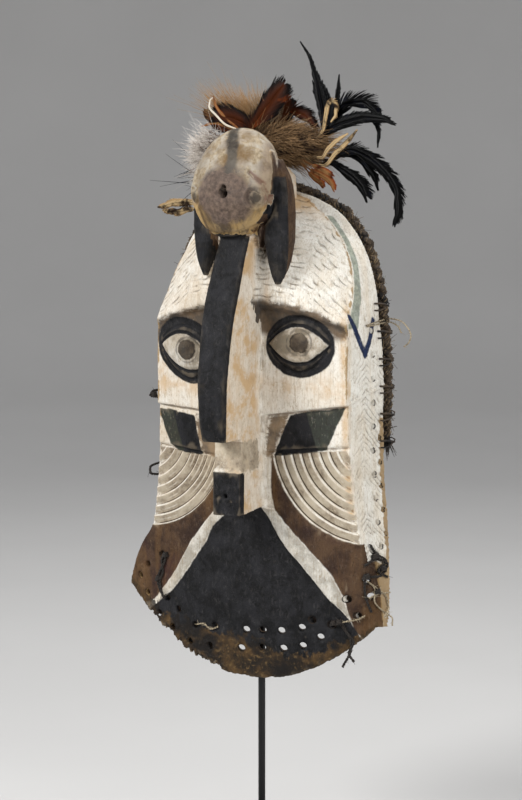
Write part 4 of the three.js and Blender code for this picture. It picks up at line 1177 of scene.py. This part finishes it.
# Places along each shaft with the half width of the vanes there, in millimetres, from the quill up
FEATHERS = (
    ("tall_black_feather", "feather_black_tall", "black_feather", (
        ((36, 42, 474, 0.3), (47, 44, 486, 3), (46, 46, 500, 7.5), (42, 47, 517, 6.5), (37, 49, 533, 3),
         (31, 50, 549, 2), (21, 52, 563, 0.8)),
        ((38, 44, 474, 0.3), (50, 46, 488, 3), (52, 47, 500, 5), (49, 49, 512, 4), (45, 50, 524, 1)))),
    ("short_black_feather", "feather_black_short", "black_feather", (
        ((36, 44, 474, 0.3), (50, 49, 489, 2.5), (56, 48, 503, 3), (60, 46, 516, 3), (62, 45, 533, 0.7)),)),
    ("broad_black_feather", "feather_black_broad", "black_feather", (
        ((36, 46, 474, 0.3), (46, 54, 486, 4), (53, 56, 498, 8), (63, 57, 508, 9), (76, 59, 510, 8),
         (86, 60, 505, 5), (94, 62, 498, 1.5)),)),
    ("arched_black_feather", "feather_black_arched", "black_feather", (
        ((36, 43, 472, 0.3), (48, 46, 482, 3), (62, 47, 490, 6), (76, 47, 495, 6), (88, 48, 496, 5),
         (95, 49, 491, 3), (98, 49, 482, 2.2), (97, 50, 471, 0.8)),)),
    ("level_black_feather", "feather_black_level", "black_feather", (
        ((34, 38, 470, 0.3), (47, 38, 480, 4), (60, 37, 488, 6.5), (75, 36, 493, 6.5), (92, 34, 496, 6),
         (107, 33, 495, 4), (121, 32, 490, 1)),)),
    ("sickle_feather", "feather_black_sickle", "black_feather", (
        ((32, 42, 462, 0.3), (49, 44, 456, 2), (59, 45, 463, 4), (73, 46, 468, 6), (86, 46, 464, 7),
         (97, 47, 457, 7), (109, 48, 445, 7), (116, 48, 432, 6.5), (117, 49, 418, 5.5),
         (113, 50, 404, 1.5)),)),
    ("low_black_feather", "feather_black_low", "black_feather", (
        ((32, 38, 462, 0.3), (56, 38, 458, 3), (68, 38, 452, 6), (79, 38, 445, 7.5), (87, 38, 437, 7),
         (92, 38, 429, 3)),)),
    ("hanging_black_feather", "feather_black_hanging", "black_feather", (
        ((34, 44, 466, 0.3), (53, 48, 464, 2), (66, 50, 465, 4), (78, 53, 461, 6), (85, 55, 453, 5),
         (90, 58, 445, 3), (93, 60, 434, 1)),)),
    ("long_cream_quill", "quill_cream_long", "cream_feather", (
        ((36, 32, 462, 0.3), (54, 30, 455, 1.5), (66, 29, 465, 2.6), (77, 29, 475, 2.6),
         (87, 28, 485, 0.8)),)),
    ("short_cream_quills", "quill_cream_short", "cream_feather", (
        ((36, 32, 464, 0.3), (53, 28, 462, 1.5), (60, 27, 469, 2.4), (69, 25, 476, 2.4), (80, 24, 482, 0.8)),
        ((38, 36, 474, 0.3), (52, 34, 486, 1.5), (54, 34, 496, 2.4), (56, 34, 505, 2.6), (60, 34, 510, 2.6),
         (64, 34, 506, 2.4), (64, 34, 500, 2), (60, 34, 493, 0.8)))),
    ("orange_tuft", "feather_orange", "orange_feather", (
        ((32, 30, 458, 0.3), (46, 27, 450, 3), (56, 25, 446, 4), (64, 23, 441, 4), (69, 21, 435, 1.5)),
        ((32, 30, 458, 0.3), (44, 27, 447, 3), (52, 25, 442, 4), (58, 23, 437, 1)),
        ((34, 30, 460, 0.3), (48, 27, 454, 3), (58, 25, 450, 4), (66, 23, 446, 1.5)))),
    ("broad_brown_feathers", "feather_brown_broad", "brown_feather", (
        ((-8, 38, 474, 0.3), (-17, 34, 486, 8), (-10, 31, 495, 13), (0, 29, 506, 14), (10, 27, 517, 9),
         (18, 26, 525, 2)),
        ((0, 40, 474, 0.3), (-5, 38, 486, 7), (2, 40, 493, 10), (8, 42, 501, 9), (14, 44, 512, 2)),
        ((4, 42, 476, 0.3), (8, 44, 490, 6), (14, 44, 502, 8), (26, 43, 500, 7), (42, 41, 489, 2)))),
    ("left_brown_feathers", "feather_brown_left", "brown_feather", (
        ((-12, 38, 474, 0.3), (-20, 36, 487, 8), (-29, 34, 493, 12), (-39, 32, 497, 11), (-53, 30, 499, 2)),
        ((-16, 42, 474, 0.3), (-40, 41, 484, 2), (-54, 43, 488, 5), (-66, 47, 496, 6), (-76, 51, 504, 1.5)))),
    ("curved_white_quill", "quill_white_curved", "white_feather", (
        ((-16, 38, 474, 0.3), (-30, 32, 486, 0.6), (-42, 30, 491, 0.9), (-51, 29, 499, 1.1),
         (-57, 27, 507, 1.0), (-56, 26, 512, 0.8), (-52, 24, 515, 0.3)),)),
    ("left_orange_quill", "quill_orange_left", "orange_feather", (
        ((-18, 42, 474, 0.3), (-39, 42, 485, 1.6), (-48, 41, 490, 2.6), (-59, 41, 493, 2.2),
         (-72, 40, 490, 0.7)),
        ((-18, 38, 476, 0.3), (-36, 33, 491, 1.4), (-45, 31, 499, 2), (-51, 29, 507, 1.6),
         (-54, 28, 516, 0.5)))),
    ("rim_quills", "quill_rim_left", "cream_feather", (
        ((-76, 55, 419, 0.5), (-92, 54, 421, 4), (-104, 51, 421, 4.6), (-114, 49, 419, 3.4),
         (-122, 46, 417, 0.6)),
        ((-78, 55, 414, 0.5), (-92, 54, 415, 3.6), (-102, 51, 413, 4.2), (-110, 49, 413, 3),
         (-117, 46, 414, 0.6)),
    )),
)
BARB_GAP = 0.36
SPLIT_GAP = 1.9


def feather(places, splits):
    """Shaft and barbs of one feather, as strands. Each barb's number is its part of the shaft."""
    places = np.array(places, dtype=float)
    shaft = even(places[:, :3], 90)
    run = np.linspace(0, 1, len(shaft))
    gone = gone_along(places[:, :3])
    half_width = np.interp(run, gone / gone[-1], places[:, 3])
    along, across, outwards = directions(shaft)
    strands = [(shaft, np.interp(run, (0, 0.2, 1), (1.0, 0.7, 0.16)), -1)]
    first_vane = 0.75 * gone[1] / gone[-1]
    count = int(gone[-1] * (1 - first_vane) / BARB_GAP)
    t = np.linspace(0, 1, 4)[:, None]
    for side in (-1, 1):
        parted = chance.normal(0, 1, (int(gone[-1] / SPLIT_GAP) + 2, 3)) * splits
        for part in np.linspace(first_vane, 0.995, count):
            k = part * (len(shaft) - 1)
            a = int(k)
            start = shaft[a] + (shaft[min(a + 1, len(shaft) - 1)] - shaft[a]) * (k - a)
            lean, lift, longer = parted[int(part * gone[-1] / SPLIT_GAP)]
            reach = np.interp(part, run, half_width) * (1.5 + 0.22 * longer + 0.09 * chance.normal())
            opening = 0.95 - 0.35 * part + 0.1 * lean
            forward = along[a] * (math.cos(opening) * t + (0.34 + 0.16 * lean) * t * t)
            sideways = across[a] * side * (math.sin(opening) * t - 0.16 * t * t)
            cupped = outwards[a] * (0.16 + 0.1 * lift) * t * t
            barb = start + (forward + sideways + cupped) * max(reach, 0.3)
            strands.append((barb, np.array((0.34, 0.37, 0.34, 0.13)), part))
    return strands


# Each kind's colour at the shaft, at the barbs' ends and in its streaks, how few the streaks are, and
# how rough it is. The colours run out along each barb.
FEATHER_COLOURS = {
    # The black feathers' navy streaks are painted sheen, standing in for their blue gloss.
    "black_feather": ((3, 3, 4), (4, 4, 6), (11, 14, 26), 0.54, 0.3),
    "brown_feather": ((66, 33, 15), (14, 9, 8), (104, 50, 20), 0.58, 0.45),
    "orange_feather": ((150, 112, 72), (128, 62, 26), (70, 32, 14), 0.5, 0.5),
    "cream_feather": ((190, 166, 126), (158, 130, 92), (44, 32, 24), 0.48, 0.5),
    "white_feather": ((222, 212, 194), (228, 220, 206), (170, 146, 104), 0.56, 0.5),
}


def barb_finish(material_name, root_colour, tip_colour, streak_and_sheen_colour, streaks, roughness):
    """One feather finish."""
    finish, tree, surface = new_material(material_name)
    streak_and_sheen_colour = shade(*streak_and_sheen_colour)
    outward = between(tree, carried(tree, "along"), 0.1, 0.9)
    hue = painted(tree, outward, shade(*root_colour), shade(*tip_colour))
    banded = speckle(tree, 90, 4, 0.65, (1, 1, 1), 0.4)
    # Streaks; on the black feathers these are a painted blue sheen.
    hue = painted(tree, between(tree, banded, streaks, streaks + 0.16), hue, streak_and_sheen_colour)
    hair = speckle(tree, 1400, 3, 0.6)
    hue = painted(tree, between(tree, hair, 0.25, 0.75, 0.25, 0.0), hue, shade(8, 8, 9))
    shaft_only = sums(tree, "LESS_THAN", carried(tree, "number"), -0.5)
    hue = painted(tree, sums(tree, "MULTIPLY", shaft_only, 0.6), hue, streak_and_sheen_colour)
    tree.links.new(hue, surface.inputs["Base Color"])
    tree.links.new(between(tree, hair, 0.3, 0.7, roughness, roughness + 0.2), surface.inputs["Roughness"])
    surface.inputs["Specular IOR Level"].default_value = 0.1
    dented(tree, surface, hair, 0.3, 0.0002)
    return finish


finishes = {slot: barb_finish(slot.replace("_", " "), *colours) for slot, colours in FEATHER_COLOURS.items()}
for piece, replaced, slot, shafts in FEATHERS:
    splits = 0.45 if slot == "black_feather" else 0.2
    plumes = spun(piece, [strand for shaft in shafts for strand in feather(shaft, splits)])
    plumes.data.materials.append(finishes[slot])
    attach(plumes, "root")
    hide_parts(replaced)


# The hide pad and the tufts of down. A scrap of hide with its hair on is bound behind the crest's
# head and holds the quills. White down stands out at its left, and long tan hackle fibres stand up
# behind the head.
def hairs(roots, headings, lengths, curls, radius, numbers=None):
    """Fine hairs as strands, each bent by its own curl."""
    t = np.linspace(0, 1, 5)[:, None]
    taper = np.linspace(1, 0.25, 5)
    made = []
    for k in range(len(roots)):
        points = roots[k] + headings[k] * lengths[k] * t + curls[k] * lengths[k] * t * t
        made.append((points, radius * taper, 0 if numbers is None else numbers[k]))
    return made


def fanned(count, middle, spread):
    """Unit vectors about one direction."""
    ways = np.array(middle) + chance.normal(0, 1, (count, 3)) * np.array(spread)
    return ways / np.linalg.norm(ways, axis=1)[:, None]


PAD_MIDDLE, PAD_RADII = np.array((9, 41, 472.0)), np.array((33, 15, 15.0))
pad = bmesh.new()
bmesh.ops.create_icosphere(pad, subdivisions=5, radius=1)
for vert in pad.verts:
    rough_hide = 1 + 0.06 * noise.noise(vert.co * 3) + 0.03 * noise.noise(vert.co * 11)
    vert.co = CHIN + Vector(PAD_MIDDLE + np.array(vert.co) * PAD_RADII * rough_hide) * 0.001
core = in_scene("hide_scrap", as_mesh(pad, "hide_scrap"))

HIDE_HAIRS = 3600
ways = fanned(HIDE_HAIRS, (0, 0, 0), (1, 1, 1))
roots = PAD_MIDDLE + ways * PAD_RADII * 0.97
combed = ways * (0.5, 0.5, 0.35) + np.array((0.75, 0.15, 0.3)) + chance.normal(0, 0.2, (HIDE_HAIRS, 3))
combed /= np.linalg.norm(combed, axis=1)[:, None]
lengths = chance.gamma(6, 2.6, HIDE_HAIRS).clip(5, 30)
curls = chance.normal(0, 0.16, (HIDE_HAIRS, 3)) + (0.1, 0, -0.25)
hide_hair = spun("hide_hair", hairs(roots, combed, lengths, curls, 0.29, chance.uniform(0, 1, HIDE_HAIRS)))


def hair_finish(material_name, root_colour, tip_colour, patch_colour, patches, patch_scale):
    """A hair or down finish, darker where it parts."""
    finish, tree, surface = new_material(material_name)
    hue = painted(tree, between(tree, carried(tree, "along"), 0.05, 0.6), root_colour, tip_colour)
    hue = painted(tree, between(tree, carried(tree, "number"), 0.5, 1.0, 0, 0.75), hue, patch_colour)
    patch = speckle(tree, patch_scale, 4, 0.6)
    hue = painted(tree, between(tree, patch, patches, patches + 0.12), hue, patch_colour)
    strand = speckle(tree, 900, 3, 0.6)
    hue = painted(tree, between(tree, strand, 0.3, 0.75, 0.35, 0.0), hue, root_colour)
    tree.links.new(hue, surface.inputs["Base Color"])
    tree.links.new(between(tree, strand, 0.3, 0.7, 0.55, 0.75), surface.inputs["Roughness"])
    surface.inputs["Specular IOR Level"].default_value = 0.2
    return finish


hide = hair_finish("hair on hide", shade(46, 31, 22), shade(150, 120, 86), shade(36, 24, 17), 0.5, 60)
for piece in (core, hide_hair):
    piece.data.materials.append(hide)
    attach(piece, "root")
    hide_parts("hide_pad")

# White down, brown at its root, and a few black bristles below it
WHITE_DOWN = 3200
ways = fanned(WHITE_DOWN, (-0.62, -0.05, -0.02), (0.3, 0.34, 0.42))
roots = np.array((-50, 22, 463.0)) + chance.normal(0, 1, (WHITE_DOWN, 3)) * (6, 4, 8)
lengths = chance.uniform(7, 21, WHITE_DOWN)
curls = chance.normal(0, 0.2, (WHITE_DOWN, 3)) + np.array((0, 0, 0.06))
white_down = spun("white_down", hairs(roots, ways, lengths, curls, 0.24, chance.uniform(0, 1, WHITE_DOWN)))
white_down.data.materials.append(hair_finish(
    "white down", shade(84, 62, 46), shade(226, 219, 210), shade(182, 170, 158), 0.58, 50))
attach(white_down, "root")
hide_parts("down_white")

BRISTLES = 26
ways = fanned(BRISTLES, (-0.9, 0, -0.3), (0.2, 0.2, 0.4))
roots = np.array((-62, 30, 446.0)) + chance.normal(0, 1, (BRISTLES, 3)) * (6, 3, 9)
lengths = chance.uniform(14, 34, BRISTLES)
curls = chance.normal(0, 0.2, (BRISTLES, 3))
bristles = spun("black_bristles", hairs(roots, ways, lengths, curls, 0.34))
bristles.data.materials.append(finishes["black_feather"])
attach(bristles, "root")

# Tan hackle fibres, leaning out more and longer the further left they stand. A few stray ones are
# longer still.
TAN_DOWN, STRAY = 2300, 70
across_root = chance.uniform(0, 1, TAN_DOWN)
roots = np.array((-34, 44, 484.0)) + across_root[:, None] * (38, -2, 2)
roots = roots + chance.normal(0, 1.5, (TAN_DOWN, 3))
lean = -0.95 + 0.95 * across_root
ways = np.stack([lean + chance.normal(0, 0.2, TAN_DOWN), chance.normal(0.1, 0.16, TAN_DOWN),
                 0.85 + chance.normal(0, 0.12, TAN_DOWN)], axis=1)
ways /= np.linalg.norm(ways, axis=1)[:, None]
lengths = chance.uniform(12, 38, TAN_DOWN) * (1 + 0.6 * (1 - across_root) ** 2)
lengths[:STRAY] *= 1.35
curls = chance.normal(0, 0.1, (TAN_DOWN, 3))
curls[:, 0] += -0.16 * (1 - across_root)
tan_down = spun("tan_hackle", hairs(roots, ways, lengths, curls, 0.2, across_root))
tan_down.data.materials.append(hair_finish(
    "tan hackle", shade(66, 42, 25), shade(152, 118, 78), shade(150, 138, 118), 0.6, 45))
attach(tan_down, "root")
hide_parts("down_tan")


# The stand. A steel rod rises behind the chin from a collar on a flat foot. A bar across it, with a
# round pad at each end, carries the mask from inside. All of it is painted satin black.
FOOT_SIZE, ROD_TOP, ROD_RADIUS = (150, 130, 12), 565, 3.2
ARM_HEIGHT, ARM_REACH, ARM_RADIUS, PAD_RADIUS = 438, 70, 2.5, 6


def bevelled(form, edges, width, segments):
    """Rounds over some edges of a form."""
    bmesh.ops.bevel(form, geom=edges, offset=width, offset_type="OFFSET", affect="EDGES", segments=segments,
                    profile=0.5, material=-1)


def bar(start, end, radius, eased):
    """A round steel bar, its end rims eased, in millimetres above the floor."""
    start, end = Vector(start), Vector(end)
    turn = (end - start).to_track_quat("Z", "Y").to_matrix().to_4x4()
    made = bmesh.new()
    bmesh.ops.create_cone(made, cap_ends=True, segments=32, radius1=radius, radius2=radius,
                          depth=(end - start).length, matrix=Matrix.Translation((start + end) / 2) @ turn)
    bevelled(made, [edge for edge in made.edges if edge.calc_face_angle() > 1], eased, 3)
    return made


def plate(size, eased):
    """A plate on the floor, its corners rounded and its rims eased."""
    made = bmesh.new()
    to_size = Matrix.Translation((0, 0, size[2] / 2)) @ Matrix.Diagonal((*size, 1))
    bmesh.ops.create_cube(made, size=1, matrix=to_size)
    upright = [edge for edge in made.edges if abs(edge.verts[0].co.z - edge.verts[1].co.z) > 1]
    bevelled(made, upright, 2, 4)
    bevelled(made, [edge for edge in made.edges if edge.calc_face_angle() > 1], eased, 3)
    return made


steel, tree, surface = new_material("black steel")
brushed = speckle(tree, 260, 4, 0.6)
steel_colour = painted(tree, brushed, shade(10, 10, 11), shade(22, 22, 23))
worn_through = between(tree, speckle(tree, 60, 5, 0.7), 0.6, 0.72, 0, 0.5)
steel_colour = painted(tree, worn_through, steel_colour, shade(48, 46, 44))
tree.links.new(steel_colour, surface.inputs["Base Color"])
surface.inputs["Metallic"].default_value = 0.3
tree.links.new(between(tree, brushed, 0.3, 0.7, 0.38, 0.55), surface.inputs["Roughness"])
dented(tree, surface, speckle(tree, 700, 3), 0.2, 0.0002)

arms = [bar((-ARM_REACH, 0, ARM_HEIGHT), (ARM_REACH, 0, ARM_HEIGHT), ARM_RADIUS, 0.5)]
for side in (-ARM_REACH, ARM_REACH):
    arms += [bar((side, 2, ARM_HEIGHT), (side, -8.5, ARM_HEIGHT), ARM_RADIUS, 0.5),
             bar((side, -8.3, ARM_HEIGHT), (side, -10.5, ARM_HEIGHT), PAD_RADIUS, 0.5)]
for piece, replaced, forms in (
    ("foot", "stand_foot", [plate(FOOT_SIZE, 1.2), bar((0, 0, 11), (0, 0, 23), 9, 1)]),
    ("rod", "stand_rod", [bar((0, 0, 12), (0, 0, ROD_TOP), ROD_RADIUS, 0.6), *arms]),
):
    whole = bmesh.new()
    for form in forms:
        whole.from_mesh(as_mesh(form, piece))
    bmesh.ops.scale(whole, vec=(0.001, 0.001, 0.001), verts=whole.verts)
    for face in whole.faces:
        face.smooth = True
    for edge in whole.edges:
        edge.smooth = edge.calc_face_angle(0) < 0.7
    made = in_scene(piece, as_mesh(whole, piece))
    made.data.materials.append(steel)
    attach(made, "root")
    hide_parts(replaced)


# The floor. It is pale and smooth, and sweeps up all round into a wall, as in a photographer's cove.
# Each pair of the profile is a distance from the middle and a height, in metres.
cove = bmesh.new()
profile = [(0, 0), (2.2, 0), (3.0, 0.06), (3.6, 0.35), (3.95, 0.95), (4.0, 1.6), (4.0, 3.6)]
corners = [cove.verts.new((distance, 0, height)) for distance, height in profile]
edges = [cove.edges.new(pair) for pair in zip(corners, corners[1:])]
bmesh.ops.spin(cove, geom=corners + edges, cent=(0, 0, 0), axis=(0, 0, 1), angle=2 * math.pi, steps=48,
               use_merge=True)
bmesh.ops.remove_doubles(cove, verts=cove.verts, dist=1e-5)
bmesh.ops.recalc_face_normals(cove, faces=cove.faces)
if cove.faces[0].normal.z < 0:
    bmesh.ops.reverse_faces(cove, faces=cove.faces)
for face in cove.faces:
    face.smooth = True
floor = in_scene("floor", as_mesh(cove, "floor"))
pale, tree, surface = new_material("pale floor")
tint = painted(tree, speckle(tree, 3, 2), shade(186, 185, 183), shade(194, 193, 191))
tree.links.new(tint, surface.inputs["Base Color"])
surface.inputs["Roughness"].default_value = 0.8
floor.data.materials.append(pale)
floor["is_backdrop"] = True


# The light. A strong soft lamp stands at the left, a weaker one at the right and one above from
# behind, and the room itself gives a little all round. Each has its place, width and power.
LIGHTS = (
    ("key", (-1.1, -1.7, 1.6), 1.0, 60),
    ("fill", (1.8, -0.9, 1.0), 1.3, 28),
    ("top", (0.3, 0.6, 2.1), 1.0, 26),
)
for name, place, size, power in LIGHTS:
    lamp = bpy.data.lights.new(name, "AREA")
    lamp.shape = "DISK"
    lamp.size = size
    lamp.energy = power
    light = in_scene(name, lamp)
    toward = AIM - Vector(place)
    light.matrix_world = Matrix.Translation(place) @ toward.to_track_quat("-Z", "Y").to_matrix().to_4x4()
world = bpy.data.worlds.new("room")
world.use_nodes = True
world.node_tree.nodes["Background"].inputs["Color"].default_value = (0.9, 0.92, 1.0, 1)
world.node_tree.nodes["Background"].inputs["Strength"].default_value = 0.3
bpy.context.scene.world = world
bpy.context.scene.view_settings.view_transform = "Standard"

solid, dressed = ([list(corner) for corner in box] for box in (solid_bounds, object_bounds()))
